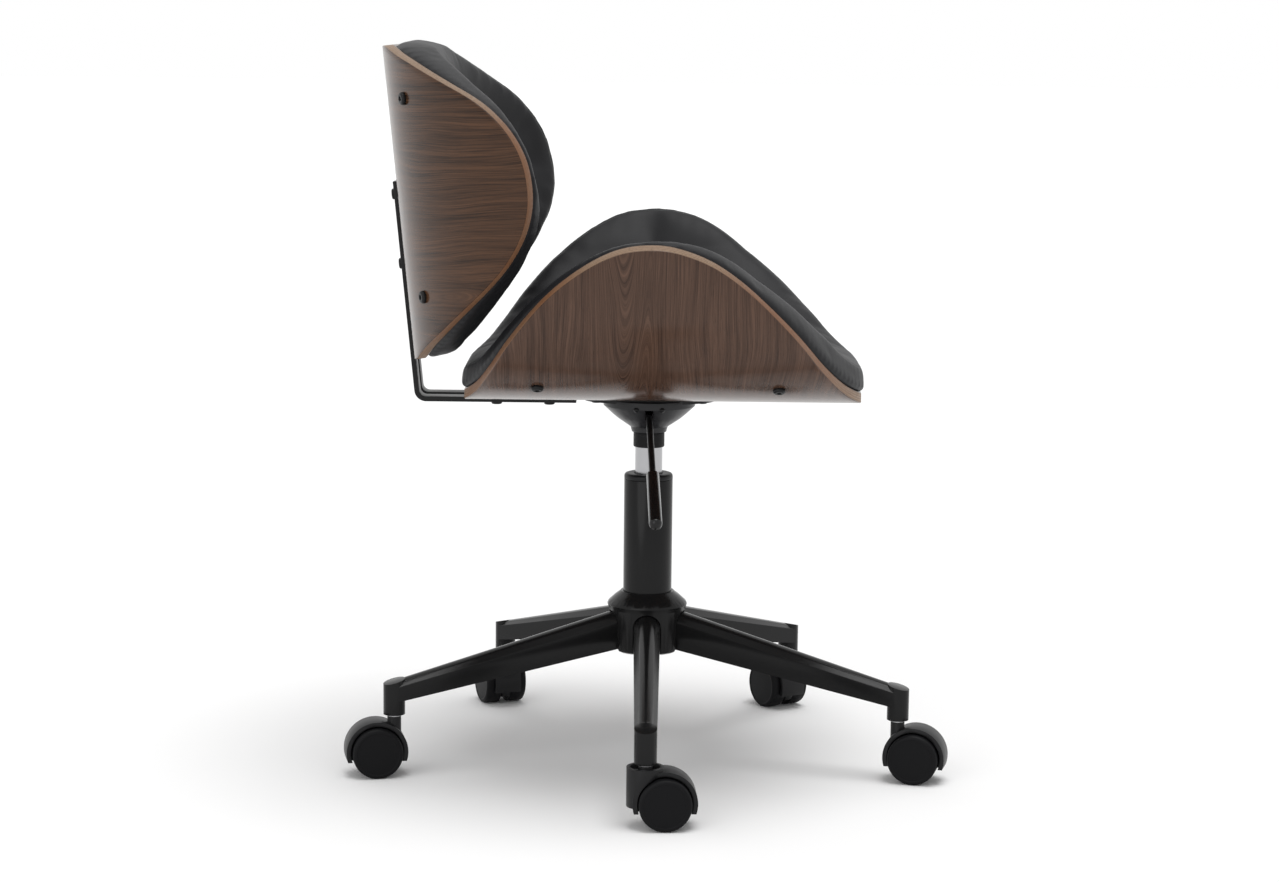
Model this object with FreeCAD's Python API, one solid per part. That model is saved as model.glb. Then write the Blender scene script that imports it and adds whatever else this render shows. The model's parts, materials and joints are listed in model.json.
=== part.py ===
import FreeCAD, Part
import math
import os
from FreeCAD import Matrix, Vector

# Bentwood task chair on a five-leg swivel base, in millimetres.
# +Z is up, -Y is the front of the chair, and the origin is on the floor below the gas lift.
os.makedirs("parts", exist_ok=True)

# Overrun of every cutting tool, and the clearances that are used all over
overrun = 1.0
press_gap = 0.03
running_gap = 0.05
soft_gap = 0.3
slack_gap = 0.25

# Five-leg base
leg_count = 5
leg_angles = [180.0 - 360.0 / leg_count * k for k in range(leg_count)]
socket_circle = 268.0
socket_bottom = 62.0
socket_radius = 11.0
socket_depth = 27.0
leg_root_top = 158.5
leg_root_bottom = 119.5
leg_end_top = 96.0
leg_end_bottom = 75.5
leg_root_width = 27.5
leg_end_width = 21.6
leg_wall = 1.8
leg_top_width_share = 0.62
leg_shoulder_share = 0.74

# Pressed hub
hub_bottom = 114.0
hub_top = 176.0
hub_wall_radius = 39.5
hub_lip_radius = 41.2
hub_lip_height = 164.0
hub_lip_edge = 4.5
hub_top_radius = 28.5
hub_foot_radius = 6.0
leg_seat_radius = 28.5
arch_width = 29.0
arch_top = 157.0

# Column and gas lift
column_radius = 25.0
column_wall = 1.8
column_bottom = 114.0
column_floor = 3.0
column_taper = 1.2
cap_ring_height = 6.0
cap_ring_round = 3.0
bush_length = 92.0
tube_radius = 14.0
tube_wall = 2.2
tube_bottom = 128.0
column_top_drop = 83.5
tube_top_drop = 26.5
tube_plug = 12.0
tube_head = 9.0
tube_chamfer = 1.5
rod_radius = 5.0
rod_neck_radius = 4.0
piston_height = 10.0
piston_spare = 3.0
rod_end = 106.0
clip_radius = 7.5
clip_thickness = 1.6
bearing_radius = 12.0
bearing_washer = 1.5
bearing_ring = 3.0
release_pin_radius = 3.0
release_pin_length = 30.0
lift_travel = 85.0

# Seat mounting bowl, plate and lever
seat_under = 379.0
plate_thickness = 2.5
plate_length = 134.0
plate_width = 76.0
plate_bolt_spacing = 108.0
bowl_rim_radius = 47.0
bowl_rim_drop = 7.1
bowl_upper_radius = 38.0
bowl_upper_drop = 15.5
bowl_lower_radius = 32.0
bowl_lower_drop = 20.5
bowl_neck_radius = 19.2
bowl_neck_drop = 29.2
bowl_foot_radius = 17.7
bowl_foot_drop = 34.5
bowl_wall = 2.4
collar_radius = 16.0
collar_length = 15.6
lever_radius = 3.3
lever_drop = 14.5
lever_inner_reach = 4.0
lever_pivot_reach = 22.0
lever_bend_reach = 47.0
lever_grip_start_reach = 143.0
lever_end_reach = 225.0
lever_end_drop = 80.0
lever_end_shift = 7.5
lever_boss_radius = 5.2
lever_slot_rise = 7.0
grip_radius = 6.4
pivot_radius = 2.0
pivot_overhang = 1.5
ear_thickness = 2.0
ear_width = 12.0
ear_drop = 4.5

# Heights that follow from the seat's underside
plate_under = seat_under - plate_thickness
bowl_rim_height = plate_under - bowl_rim_drop
bowl_upper_height = plate_under - bowl_upper_drop
bowl_lower_height = plate_under - bowl_lower_drop
bowl_neck_height = plate_under - bowl_neck_drop
bowl_foot_height = plate_under - bowl_foot_drop
column_top = plate_under - column_top_drop
tube_top = plate_under - tube_top_drop
lever_height = plate_under - lever_drop
lever_end_height = lever_height - lever_end_drop

# Bent plywood shells: a flat middle, an arc each side and a straight wing
ply = 11.0
seat_flat = 28.0
seat_bend = 225.0
seat_bend_angle = 61.0
seat_half_girth = 327.5
seat_front = 214.0
seat_rear = 187.0
back_flat = 30.0
back_bend = 225.0
back_bend_angle = 60.0
back_half_girth = 296.0
back_half_height = 156.7
back_middle_y = 253.3
back_middle_rise = 196.8
back_middle_z = seat_under + back_middle_rise
back_lean = 5.83
outline_samples = 48

# Right half outlines of the shells, from the middle of the front or lower edge, over the wing's
# tip, to the middle of the rear or upper edge, as shares of half girth and of length
seat_outline_shares = [(0.0, -1.0), (0.10, -1.0), (0.18, -0.992), (0.25, -0.965), (0.34, -0.911),
                       (0.50, -0.801), (0.67, -0.664), (0.82, -0.488), (0.93, -0.305), (0.985, -0.14),
                       (1.0, 0.0), (0.98, 0.18), (0.91, 0.372), (0.80, 0.562), (0.65, 0.723),
                       (0.50, 0.83), (0.36, 0.91), (0.25, 0.97), (0.18, 0.994), (0.10, 1.0), (0.0, 1.0)]
back_outline_shares = [(0.0, -1.0), (0.10, -1.0), (0.19, -0.998), (0.27, -0.975), (0.35, -0.93),
                       (0.54, -0.785), (0.73, -0.592), (0.86, -0.42), (0.94, -0.255), (0.985, -0.09),
                       (1.0, 0.08), (0.985, 0.27), (0.93, 0.454), (0.84, 0.61), (0.70, 0.745),
                       (0.53, 0.872), (0.39, 0.948), (0.30, 0.985), (0.22, 0.999), (0.11, 1.0), (0.0, 1.0)]

# Upholstered pads and the boards inside them
board = 4.0
board_inset = 26.0
pad_overhang = 5.5
pad_wing_overhang = 1.5
seat_pad_middle = 36.0
seat_pad_edge = 30.0
seat_pad_wing = 17.0
back_pad_middle = 36.0
back_pad_edge = 30.0
back_pad_wing = 15.0
pad_base_roll = 6.0
pad_top_roll = 11.0
pad_belly_share = 0.45
pad_top_share = 0.86
pad_station_shares = [0.0, 0.11, 0.22, 0.34, 0.46, 0.58, 0.69, 0.79, 0.87, 0.93, 0.967, 0.988]
pad_nose_share = 0.90

# Flat steel straps between seat and back
strap_thickness = 5.0
strap_width = 20.0
strap_pitch = 36.0
strap_front = 74.3
strap_rise = 21.0
strap_inner_bend = 7.0
seat_bolt_ys = [155.5, 101.8]
back_bolt_rises = [8.2, -62.2]

# Screws, bolts and nuts
bolt_radius = 3.0
bolt_head_radius = 5.5
bolt_head_height = 3.0
head_top_share = 0.6
nut_flange_radius = 9.0
nut_flange = 1.6
screw_radius = 2.5
screw_head_radius = 6.3
screw_head_height = 4.0
insert_radius = 4.0
seat_screw_girth_share = 0.4033
back_screw_girth_share = 0.4529
seat_screw_ys = [110.0, -127.0]
back_screw_rises = [104.7, -88.3]

# Casters: the one under the near leg has a round cup at its stem, the others a slim neck
wheel_radius = 25.5
wheel_inner = 5.4
wheel_outer = 23.0
wheel_face = 3.2
wheel_rim = 3.6
wheel_hub_radius = 8.0
wheel_round = 3.0
axle_radius = 3.0
trail = 18.6
hood_radius = 31.2
hood_gap = 1.4
hood_width = 29.0
hood_tip_drop = 9.5
web_thickness = 9.0
web_bottom = 9.0
neck_radius = 7.0
neck_top = 60.2
neck_bore_depth = 14.0
cup_radius = 18.0
cup_rim = 3.6
cup_depth = 4.0
cup_top = 59.0
cup_toe = 21.0
stem_radius = 5.5
stem_lower_radius = 4.0
stem_length = 22.0
stem_collar_radius = 7.0
caster_headings = [-87.0, 102.0, 21.0, 32.0, -104.0]
cup_casters = [0]


def save(node, shape):
    # One STEP file per named sub-part
    shape.exportStep("parts/%s.step" % node)


def group(solids):
    # Separate solids that share one node
    return Part.makeCompound(solids)


def rod(radius, start, end):
    # Round bar between two points
    return Part.makeCylinder(radius, (end - start).Length, start, end - start)


def tube(outer, inner, z_low, z_high):
    # Upright tube on the chair's axis
    axis = Vector(0, 0, 1)
    body = Part.makeCylinder(outer, z_high - z_low, Vector(0, 0, z_low), axis)
    hole = Part.makeCylinder(inner, z_high - z_low + 2 * overrun, Vector(0, 0, z_low - overrun), axis)
    return body.cut(hole)


def revolved(points):
    # Solid of revolution about Z from (radius, height) points joined by straight lines
    path = [Vector(r, 0, z) for r, z in points]
    face = Part.Face(Part.makePolygon(path + path[:1]))
    return face.revolve(Vector(0, 0, 0), Vector(0, 0, 1), 360)


def box(x_low, x_high, y_low, y_high, z_low, z_high):
    return Part.makeBox(x_high - x_low, y_high - y_low, z_high - z_low, Vector(x_low, y_low, z_low))


def turned(shape, degrees):
    # Copy turned about the chair's axis
    copy = shape.copy()
    copy.rotate(Vector(0, 0, 0), Vector(0, 0, 1), degrees)
    return copy


def moved(shape, x, y, z):
    copy = shape.copy()
    copy.translate(Vector(x, y, z))
    return copy


# Five-leg base


def leg_section(reach, low, high, width, wall):
    # Inverted-U section of a leg, as a closed wire across the leg at the given reach
    half = width / 2 - wall
    top_half = half * leg_top_width_share
    floor = low + wall
    crest = high - wall
    shoulder = floor + (crest - floor) * leg_shoulder_share
    corners = [Vector(reach, -half, floor), Vector(reach, -half, shoulder),
               Vector(reach, -top_half, crest - (half - top_half) / 2), Vector(reach, 0, crest),
               Vector(reach, top_half, crest - (half - top_half) / 2), Vector(reach, half, shoulder),
               Vector(reach, half, floor)]
    edges = [Part.LineSegment(corners[0], corners[1]).toShape(),
             Part.LineSegment(corners[1], corners[2]).toShape(),
             Part.Arc(corners[2], corners[3], corners[4]).toShape(),
             Part.LineSegment(corners[4], corners[5]).toShape(),
             Part.LineSegment(corners[5], corners[6]).toShape(),
             Part.LineSegment(corners[6], corners[0]).toShape()]
    return Part.Wire(edges)


def leg_heights(reach):
    # Bottom and top of the leg at a reach, on the straight lines from hub to end
    share = (reach - leg_seat_radius) / (socket_circle - leg_seat_radius)
    low = leg_root_bottom + (leg_end_bottom - leg_root_bottom) * share
    high = leg_root_top + (leg_end_top - leg_root_top) * share
    return low, high


def leg_tube(start, end, wall):
    sections = []
    for reach in (start, end):
        low, high = leg_heights(reach)
        share = (reach - leg_seat_radius) / (socket_circle - leg_seat_radius)
        width = leg_root_width + (leg_end_width - leg_root_width) * share
        sections.append(leg_section(reach, low, high, width, wall))
    return Part.makeLoft(sections, True, True)


def make_leg():
    # Leg along +X: a hollow pressed tube, mitred over the caster socket
    end = socket_circle
    outer = leg_tube(leg_seat_radius + press_gap, end, 0)
    inner = leg_tube(leg_seat_radius - overrun, end - socket_radius, leg_wall)
    high = leg_heights(socket_circle - socket_radius)[1]
    socket = rod(socket_radius, Vector(end, 0, socket_bottom), Vector(end, 0, high))
    above = [Vector(end - 2 * socket_radius, -2 * socket_radius, leg_heights(end - 2 * socket_radius)[1]),
             Vector(end + 2 * socket_radius, -2 * socket_radius, leg_heights(end + 2 * socket_radius)[1]),
             Vector(end + 2 * socket_radius, -2 * socket_radius, high + 2 * socket_radius),
             Vector(end - 2 * socket_radius, -2 * socket_radius, high + 2 * socket_radius)]
    wedge = Part.Face(Part.makePolygon(above + above[:1])).extrude(Vector(0, 4 * socket_radius, 0))
    socket = socket.cut(wedge)
    bore = rod(stem_radius + running_gap, Vector(end, 0, socket_bottom - overrun),
               Vector(end, 0, socket_bottom + socket_depth))
    return outer.cut(inner).fuse(socket).cut(bore).removeSplitter()


def column_radius_at(z):
    # The column narrows a little inside the hub, as a pressed-in gas lift does
    if z >= hub_top:
        return column_radius
    return column_radius - column_taper * (hub_top - z) / (hub_top - column_bottom)


def make_hub():
    lip_low = hub_lip_height - hub_lip_edge
    outline = [(column_radius_at(hub_bottom) + press_gap, hub_bottom),
               (hub_wall_radius - hub_foot_radius, hub_bottom),
               (hub_wall_radius - hub_foot_radius / 3, hub_bottom + hub_foot_radius / 3),
               (hub_wall_radius, hub_bottom + hub_foot_radius),
               (hub_wall_radius, lip_low - hub_lip_edge / 2),
               (hub_lip_radius - hub_lip_edge / 4, lip_low),
               (hub_lip_radius, hub_lip_height - hub_lip_edge / 3),
               (hub_lip_radius - hub_lip_edge / 4, hub_lip_height + hub_lip_edge / 4),
               (hub_top_radius + hub_lip_edge, hub_top - hub_lip_edge),
               (hub_top_radius, hub_top - hub_lip_edge / 4),
               (hub_top_radius - hub_lip_edge / 4, hub_top),
               (column_radius + press_gap, hub_top)]
    hub = revolved(outline)
    arch_radius = arch_width / 2
    spring = arch_top - arch_radius
    depth = hub_lip_radius - leg_seat_radius + overrun
    floor = box(leg_seat_radius, leg_seat_radius + depth, -arch_radius, arch_radius,
                hub_bottom - overrun, spring)
    crown = rod(arch_radius, Vector(leg_seat_radius, 0, spring), Vector(leg_seat_radius + depth, 0, spring))
    arch = floor.fuse(crown)
    for angle in leg_angles:
        hub = hub.cut(turned(arch, angle))
    # Room for the leg tops under the lip
    room = leg_tube(leg_seat_radius, hub_lip_radius + overrun, 0)
    for angle in leg_angles:
        hub = hub.cut(turned(room, angle))
    return hub


def make_stem():
    # Caster stem on the chair's axis: pressed in the leg above, and the caster's pivot below
    low = neck_top - neck_bore_depth + slack_gap
    outline = [(0, low), (stem_lower_radius, low), (stem_lower_radius, neck_top),
               (stem_collar_radius, neck_top), (stem_collar_radius, socket_bottom),
               (stem_radius, socket_bottom), (stem_radius, socket_bottom + stem_length),
               (0, socket_bottom + stem_length)]
    return revolved(outline)


def make_stems():
    return group([turned(moved(make_stem(), socket_circle, 0, 0), angle) for angle in leg_angles])


# Casters, made with the stem on the axis and the wheels behind it along +X


def place_caster(shape, index):
    # From the axis to its leg end, turned to its heading
    shape = turned(shape, caster_headings[index])
    angle = math.radians(leg_angles[index])
    return moved(shape, socket_circle * math.cos(angle), socket_circle * math.sin(angle), 0)


def across(radius, half_width, x=trail, z=wheel_radius):
    # Cylinder along the axle, centred between the wheels
    return rod(radius, Vector(x, -half_width, z), Vector(x, half_width, z))


def make_caster_body(with_cup):
    axle_z = wheel_radius
    hood = across(hood_radius, hood_width / 2)
    below = box(trail - 2 * hood_radius, trail + 2 * hood_radius, -hood_width, hood_width,
                axle_z - 2 * hood_radius, axle_z - hood_tip_drop)
    hood = hood.cut(below)
    web = across(wheel_radius, web_thickness / 2)
    web = web.cut(box(trail - 2 * hood_radius, trail + 2 * hood_radius, -hood_width, hood_width,
                      -hood_radius, web_bottom))
    inside = across(wheel_radius + hood_gap, hood_width)
    core = across(hood_radius, web_thickness / 2)
    neck = rod(neck_radius, Vector(0, 0, axle_z), Vector(0, 0, neck_top))
    if with_cup:
        hood = hood.fuse(rod(cup_radius, Vector(0, 0, cup_toe), Vector(0, 0, cup_top)))
    shell = hood.cut(inside.cut(core))
    if with_cup:
        shell = shell.cut(rod(cup_radius - cup_rim, Vector(0, 0, cup_top - cup_depth),
                              Vector(0, 0, cup_top + overrun)))
    wheel_room = inside.cut(across(wheel_radius + hood_gap + overrun, web_thickness / 2))
    body = shell.fuse(web).fuse(neck).cut(wheel_room)
    body = body.cut(rod(stem_lower_radius + running_gap, Vector(0, 0, neck_top - neck_bore_depth),
                        Vector(0, 0, neck_top + overrun)))
    body = body.cut(across(axle_radius + running_gap, hood_width))
    return body.removeSplitter()


def make_wheel():
    # One wheel about Z: closed dished face outside, open inside, blind hub bore
    inner_z = wheel_inner
    outer_z = wheel_outer
    outline = [(axle_radius + running_gap, inner_z), (wheel_hub_radius, inner_z),
               (wheel_hub_radius, outer_z - wheel_face), (wheel_radius - wheel_rim, outer_z - wheel_face),
               (wheel_radius - wheel_rim, inner_z), (wheel_radius, inner_z),
               (wheel_radius, outer_z - wheel_round), (wheel_radius - wheel_round, outer_z),
               (0, outer_z), (0, outer_z - wheel_face), (axle_radius + running_gap, outer_z - wheel_face)]
    return revolved(outline)


def wheel_on_axle(side):
    # Turned so that its axis lies along the axle, on one side of the caster
    wheel = make_wheel()
    wheel.rotate(Vector(0, 0, 0), Vector(1, 0, 0), -90 * side)
    wheel.translate(Vector(trail, 0, wheel_radius))
    return wheel


def save_casters():
    body_slim = make_caster_body(False)
    body_cup = make_caster_body(True)
    axle = across(axle_radius, wheel_outer - wheel_face - slack_gap)
    for index in range(leg_count):
        number = index + 1
        body = body_cup if index in cup_casters else body_slim
        save("caster_%d_body" % number, place_caster(body, index))
        save("caster_%d_axle" % number, place_caster(axle, index))
        save("caster_%d_wheel_a" % number, place_caster(wheel_on_axle(1), index))
        save("caster_%d_wheel_b" % number, place_caster(wheel_on_axle(-1), index))


# Column and gas lift


def make_column():
    outer = [(0, column_bottom), (column_radius_at(column_bottom), column_bottom), (column_radius, hub_top),
             (column_radius, column_top), (0, column_top)]
    inner = [(0, column_bottom + column_floor),
             (column_radius_at(column_bottom) - column_wall, column_bottom + column_floor),
             (column_radius - column_wall, hub_top), (column_radius - column_wall, column_top + overrun),
             (0, column_top + overrun)]
    hole = rod(rod_neck_radius + running_gap, Vector(0, 0, column_bottom - overrun),
               Vector(0, 0, column_bottom + column_floor + overrun))
    return revolved(outer).cut(revolved(inner)).cut(hole)


def make_cap_ring():
    inner = tube_radius + soft_gap
    top = column_top + cap_ring_height
    outline = [(inner, column_top), (column_radius, column_top), (column_radius, top - cap_ring_round),
               (column_radius - cap_ring_round / 3, top - cap_ring_round / 3),
               (column_radius - cap_ring_round, top), (inner, top)]
    return revolved(outline)


def make_bush():
    return tube(column_radius - column_wall - press_gap, tube_radius + running_gap,
                column_top - bush_length, column_top)


def make_bearing():
    # Two washers and the ring between them, on the column's floor
    floor = column_bottom + column_floor
    low = tube(bearing_radius, rod_neck_radius + slack_gap, floor, floor + bearing_washer)
    ring = tube(bearing_radius - bearing_washer, rod_neck_radius + slack_gap, floor + bearing_washer,
                floor + bearing_washer + bearing_ring)
    high = tube(bearing_radius, rod_neck_radius + slack_gap, floor + bearing_washer + bearing_ring,
                floor + 2 * bearing_washer + bearing_ring)
    return group([low, ring, high])


def make_piston_rod():
    # Rod with its piston; its neck goes through the bearing and the column's floor
    shoulder = column_bottom + column_floor + 2 * bearing_washer + bearing_ring
    piston_radius = tube_radius - tube_wall - running_gap
    rod_top = tube_bottom + tube_plug + lift_travel + piston_spare + piston_height
    outline = [(0, rod_end), (rod_neck_radius, rod_end), (rod_neck_radius, shoulder), (rod_radius, shoulder),
               (rod_radius, rod_top - piston_height), (piston_radius, rod_top - piston_height),
               (piston_radius, rod_top), (0, rod_top)]
    return revolved(outline)


def make_rod_clip():
    # Retaining clip on the rod's end, under the column's floor
    top = column_bottom - running_gap
    clip = tube(clip_radius, rod_neck_radius + press_gap, top - clip_thickness, top)
    mouth = box(rod_neck_radius / 2, clip_radius + overrun, -rod_neck_radius / 2, rod_neck_radius / 2,
                top - clip_thickness - overrun, top + overrun)
    return clip.cut(mouth)


def make_pressure_tube():
    inner = tube_radius - tube_wall
    outline = [(rod_radius + running_gap, tube_bottom), (tube_radius - tube_chamfer, tube_bottom),
               (tube_radius, tube_bottom + tube_chamfer), (tube_radius, tube_top - tube_chamfer),
               (tube_radius - tube_chamfer, tube_top), (release_pin_radius + running_gap, tube_top),
               (release_pin_radius + running_gap, tube_top - tube_head), (inner, tube_top - tube_head),
               (inner, tube_bottom + tube_plug), (rod_radius + running_gap, tube_bottom + tube_plug)]
    return revolved(outline)


def release_pin_top():
    return lever_height - lever_radius - slack_gap


def make_release_pin():
    top = release_pin_top()
    return rod(release_pin_radius, Vector(0, 0, top - release_pin_length), Vector(0, 0, top))


# Seat mounting bowl, plate, collar and lever


def make_bowl():
    top = plate_under
    socket = tube_radius + press_gap
    outline = [(socket, bowl_foot_height), (bowl_foot_radius, bowl_foot_height),
               (bowl_neck_radius, bowl_neck_height), (bowl_lower_radius, bowl_lower_height),
               (bowl_upper_radius, bowl_upper_height), (bowl_rim_radius, bowl_rim_height),
               (bowl_rim_radius, top), (bowl_rim_radius - bowl_wall, top),
               (bowl_rim_radius - bowl_wall, bowl_rim_height + bowl_wall / 3),
               (bowl_upper_radius - bowl_wall / 2, bowl_upper_height + bowl_wall),
               (bowl_lower_radius - bowl_wall / 2, bowl_lower_height + bowl_wall),
               (bowl_neck_radius, bowl_neck_height + bowl_wall * 2), (socket, bowl_neck_height + bowl_wall)]
    bowl = revolved(outline)
    half = lever_radius + overrun
    slot = box(-bowl_rim_radius - overrun, -bowl_lower_radius + bowl_wall, -half, half,
               lever_height - half, lever_height + lever_slot_rise)
    return bowl.cut(slot)


def make_seat_plate():
    # Oval plate, bolted under the seat shell
    half_length = plate_length / 2
    half_width = plate_width / 2
    low = plate_under
    ellipse = Part.Ellipse(Vector(0, half_length, low), Vector(half_width, 0, low), Vector(0, 0, low))
    plate = Part.Face(Part.Wire(ellipse.toShape())).extrude(Vector(0, 0, plate_thickness))
    for side in (-1, 1):
        y = side * plate_bolt_spacing / 2
        plate = plate.cut(rod(bolt_radius + slack_gap, Vector(0, y, low - overrun),
                              Vector(0, y, seat_under + overrun)))
    return plate


def make_collar():
    top = bowl_foot_height
    return tube(collar_radius, tube_radius + running_gap, top - collar_length, top)


def lever_points():
    # From over the release pin, out through the bowl, then down and out to the grip's end
    inner = Vector(lever_inner_reach, 0, lever_height)
    bend = Vector(-lever_bend_reach, 0, lever_height)
    end = Vector(-lever_end_reach, -lever_end_shift, lever_end_height)
    return inner, bend, end


def make_lever():
    inner, bend, end = lever_points()
    shaft = rod(lever_radius, inner, bend).fuse(Part.makeSphere(lever_radius, bend))
    inset = (end - bend).normalize() * grip_radius
    shaft = shaft.fuse(rod(lever_radius, bend, end - inset))
    pivot = Vector(-lever_pivot_reach, 0, lever_height)
    half = Vector(0, lever_radius, 0)
    shaft = shaft.fuse(rod(lever_boss_radius, pivot - half, pivot + half))
    return shaft.cut(rod(pivot_radius + running_gap, pivot - half * 2, pivot + half * 2))


def make_grip():
    bend, end = lever_points()[1:]
    start_share = (lever_grip_start_reach - lever_bend_reach) / (lever_end_reach - lever_bend_reach)
    grip = bend + (end - bend) * start_share
    along = (end - grip).normalize()
    body = rod(grip_radius, grip, end - along * grip_radius)
    body = body.fuse(Part.makeSphere(grip_radius, end - along * grip_radius))
    hole_end = end - along * (grip_radius - press_gap)
    return body.cut(rod(lever_radius + press_gap, grip - along * overrun, hole_end))


def ear_inner():
    return lever_radius + slack_gap


def make_lever_bracket():
    # Folded strip under the plate: two ears hold the lever's pivot
    top = plate_under
    outer = ear_inner() + ear_thickness
    x_low = -lever_pivot_reach - ear_width / 2
    x_high = -lever_pivot_reach + ear_width / 2
    bridge = box(x_low, x_high, -outer, outer, top - ear_thickness, top)
    low = lever_height - ear_drop
    ears = box(x_low, x_high, -outer, -ear_inner(), low, top).fuse(
        box(x_low, x_high, ear_inner(), outer, low, top))
    bracket = bridge.fuse(ears)
    pivot = Vector(-lever_pivot_reach, 0, lever_height)
    half = Vector(0, outer + overrun, 0)
    return bracket.cut(rod(pivot_radius + running_gap, pivot - half, pivot + half)).removeSplitter()


def make_pivot_pin():
    pivot = Vector(-lever_pivot_reach, 0, lever_height)
    half = Vector(0, ear_inner() + ear_thickness + pivot_overhang, 0)
    return rod(pivot_radius, pivot - half, pivot + half)


# Bent plywood shells. A sheet is described by where its outer face lies:
# x across, y along and z up from the flat middle, before it is placed on the chair.


class Sheet:
    def __init__(self, flat, bend, angle, half_girth, outline, front, rear):
        self.flat = flat
        self.bend = bend
        self.angle = math.radians(angle)
        self.half_girth = half_girth
        self.outline = outline
        self.front = front
        self.rear = rear

    def point(self, girth, y, depth):
        # Place of a point by its girth from the middle and its depth into the sheet
        side = -1 if girth < 0 else 1
        run = abs(girth)
        if run <= self.flat:
            x, z, turn = run, 0, 0
        elif run <= self.flat + self.bend * self.angle:
            turn = (run - self.flat) / self.bend
            x = self.flat + self.bend * math.sin(turn)
            z = self.bend * (1 - math.cos(turn))
        else:
            turn = self.angle
            rest = run - self.flat - self.bend * turn
            x = self.flat + self.bend * math.sin(turn) + rest * math.cos(turn)
            z = self.bend * (1 - math.cos(turn)) + rest * math.sin(turn)
        return Vector(side * (x - depth * math.sin(turn)), y, z + depth * math.cos(turn))

    def inward(self, girth):
        # Direction into the sheet at a girth
        return (self.point(girth, 0, overrun) - self.point(girth, 0, 0)).normalize()

    def rim(self, grow, side_grow):
        # Closed outline in girth and y, grown lengthwise and to the sides
        half = self.half_girth + side_grow
        front = self.front + grow
        rear = self.rear + grow
        right = [Vector(girth * half, along * (rear if along > 0 else front), 0)
                 for girth, along in self.outline]
        left = [Vector(-p.x, p.y, 0) for p in reversed(right) if p.x > 0]
        curve = Part.BSplineCurve()
        curve.interpolate(Points=right + left, PeriodicFlag=True)
        return curve

    def band(self, low, high):
        # The whole bent sheet between two depths, wider and longer than the outline
        end = self.half_girth + self.flat
        edge = self.flat + self.bend * self.angle
        points = {}
        for depth in (low, high):
            mid = self.flat + self.bend * self.angle / 2
            points[depth] = [self.point(g, 0, depth) for g in
                             (-end, -edge, -mid, -self.flat, self.flat, mid, edge, end)]
        edges = []
        for depth in (low, high):
            p = points[depth]
            edges += [Part.LineSegment(p[0], p[1]).toShape(), Part.Arc(p[1], p[2], p[3]).toShape(),
                      Part.LineSegment(p[3], p[4]).toShape(), Part.Arc(p[4], p[5], p[6]).toShape(),
                      Part.LineSegment(p[6], p[7]).toShape()]
        edges += [Part.LineSegment(points[low][0], points[high][0]).toShape(),
                  Part.LineSegment(points[low][-1], points[high][-1]).toShape()]
        wire = Part.Wire(Part.sortEdges(edges)[0])
        reach = self.front + self.rear + 4 * self.flat
        face = Part.Face(wire)
        face.translate(Vector(0, -self.front - 2 * self.flat, 0))
        return face.extrude(Vector(0, reach, 0))

    def cut_sheet(self, low, high, grow):
        # The sheet between two depths, trimmed square to its faces along the outline
        curve = self.rim(grow, grow)
        first, last = curve.FirstParameter, curve.LastParameter
        step = (last - first) / outline_samples
        places = [curve.value(first + step * k) for k in range(outline_samples)]
        rails = []
        for depth in (low - ply, high + ply):
            rail = Part.BSplineCurve()
            rail.interpolate(Points=[self.point(p.x, p.y, depth) for p in places], PeriodicFlag=True)
            rails.append(rail.toShape())
        knife = Part.makeRuledSurface(rails[0], rails[1])
        pieces, _ = self.band(low, high).generalFuse([knife])
        middle = self.point(0, (self.rear - self.front) / 2, (low + high) / 2)
        return [s for s in pieces.Solids if s.isInside(middle, press_gap, False)][0]

    def extent(self, curve_points, girth):
        # Lowest and highest y of the outline at a girth
        ys = []
        count = len(curve_points)
        for k in range(count):
            a = curve_points[k]
            b = curve_points[(k + 1) % count]
            if (a.x - girth) * (b.x - girth) <= 0 and a.x != b.x:
                ys.append(a.y + (b.y - a.y) * (girth - a.x) / (b.x - a.x))
        return min(ys), max(ys)

    def cushion(self, base, middle, edge, wing):
        # Crowned pad with rolled, drawn-in sides, lofted across the girth
        curve = self.rim(pad_overhang, pad_wing_overhang)
        first, last = curve.FirstParameter, curve.LastParameter
        count = outline_samples * 10
        outline = [curve.value(first + (last - first) * k / count) for k in range(count)]
        half = self.half_girth + pad_wing_overhang
        stations = sorted({side * share for share in pad_station_shares for side in (-1, 1)})
        wires = []
        for share in stations:
            girth = share * half
            low, high = self.extent(outline, girth)
            reach = abs(share)
            swell = math.cos(reach * math.pi / 2)
            crown = wing + (middle - wing) * swell
            side = wing * pad_top_share + (edge - wing * pad_top_share) * swell
            nose = max(0, (reach - pad_nose_share) / (1 - pad_nose_share))
            thin = math.sqrt(1 - nose * nose)
            wires.append(self.pad_section(girth, low, high, base, crown * thin, side * thin))
        return Part.makeLoft(wires, True, True)

    def pad_section(self, girth, low, high, base, crown, side):
        span = high - low
        foot = min(pad_base_roll, span / 6)
        roll = min(pad_top_roll, span / 5)
        belly = base + side * pad_belly_share
        top = base + side
        mid = (low + high) / 2
        p = [(low + foot, base), (low, belly), (low + roll, top), (mid, base + crown),
             (high - roll, top), (high, belly), (high - foot, base)]
        v = [self.point(girth, y, depth) for y, depth in p]
        return Part.Wire([Part.Arc(v[0], v[1], v[2]).toShape(), Part.Arc(v[2], v[3], v[4]).toShape(),
                          Part.Arc(v[4], v[5], v[6]).toShape(), Part.LineSegment(v[6], v[0]).toShape()])


seat_sheet = Sheet(seat_flat, seat_bend, seat_bend_angle, seat_half_girth, seat_outline_shares,
                   seat_front, seat_rear)
back_sheet = Sheet(back_flat, back_bend, back_bend_angle, back_half_girth, back_outline_shares,
                   back_half_height, back_half_height)


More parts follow.
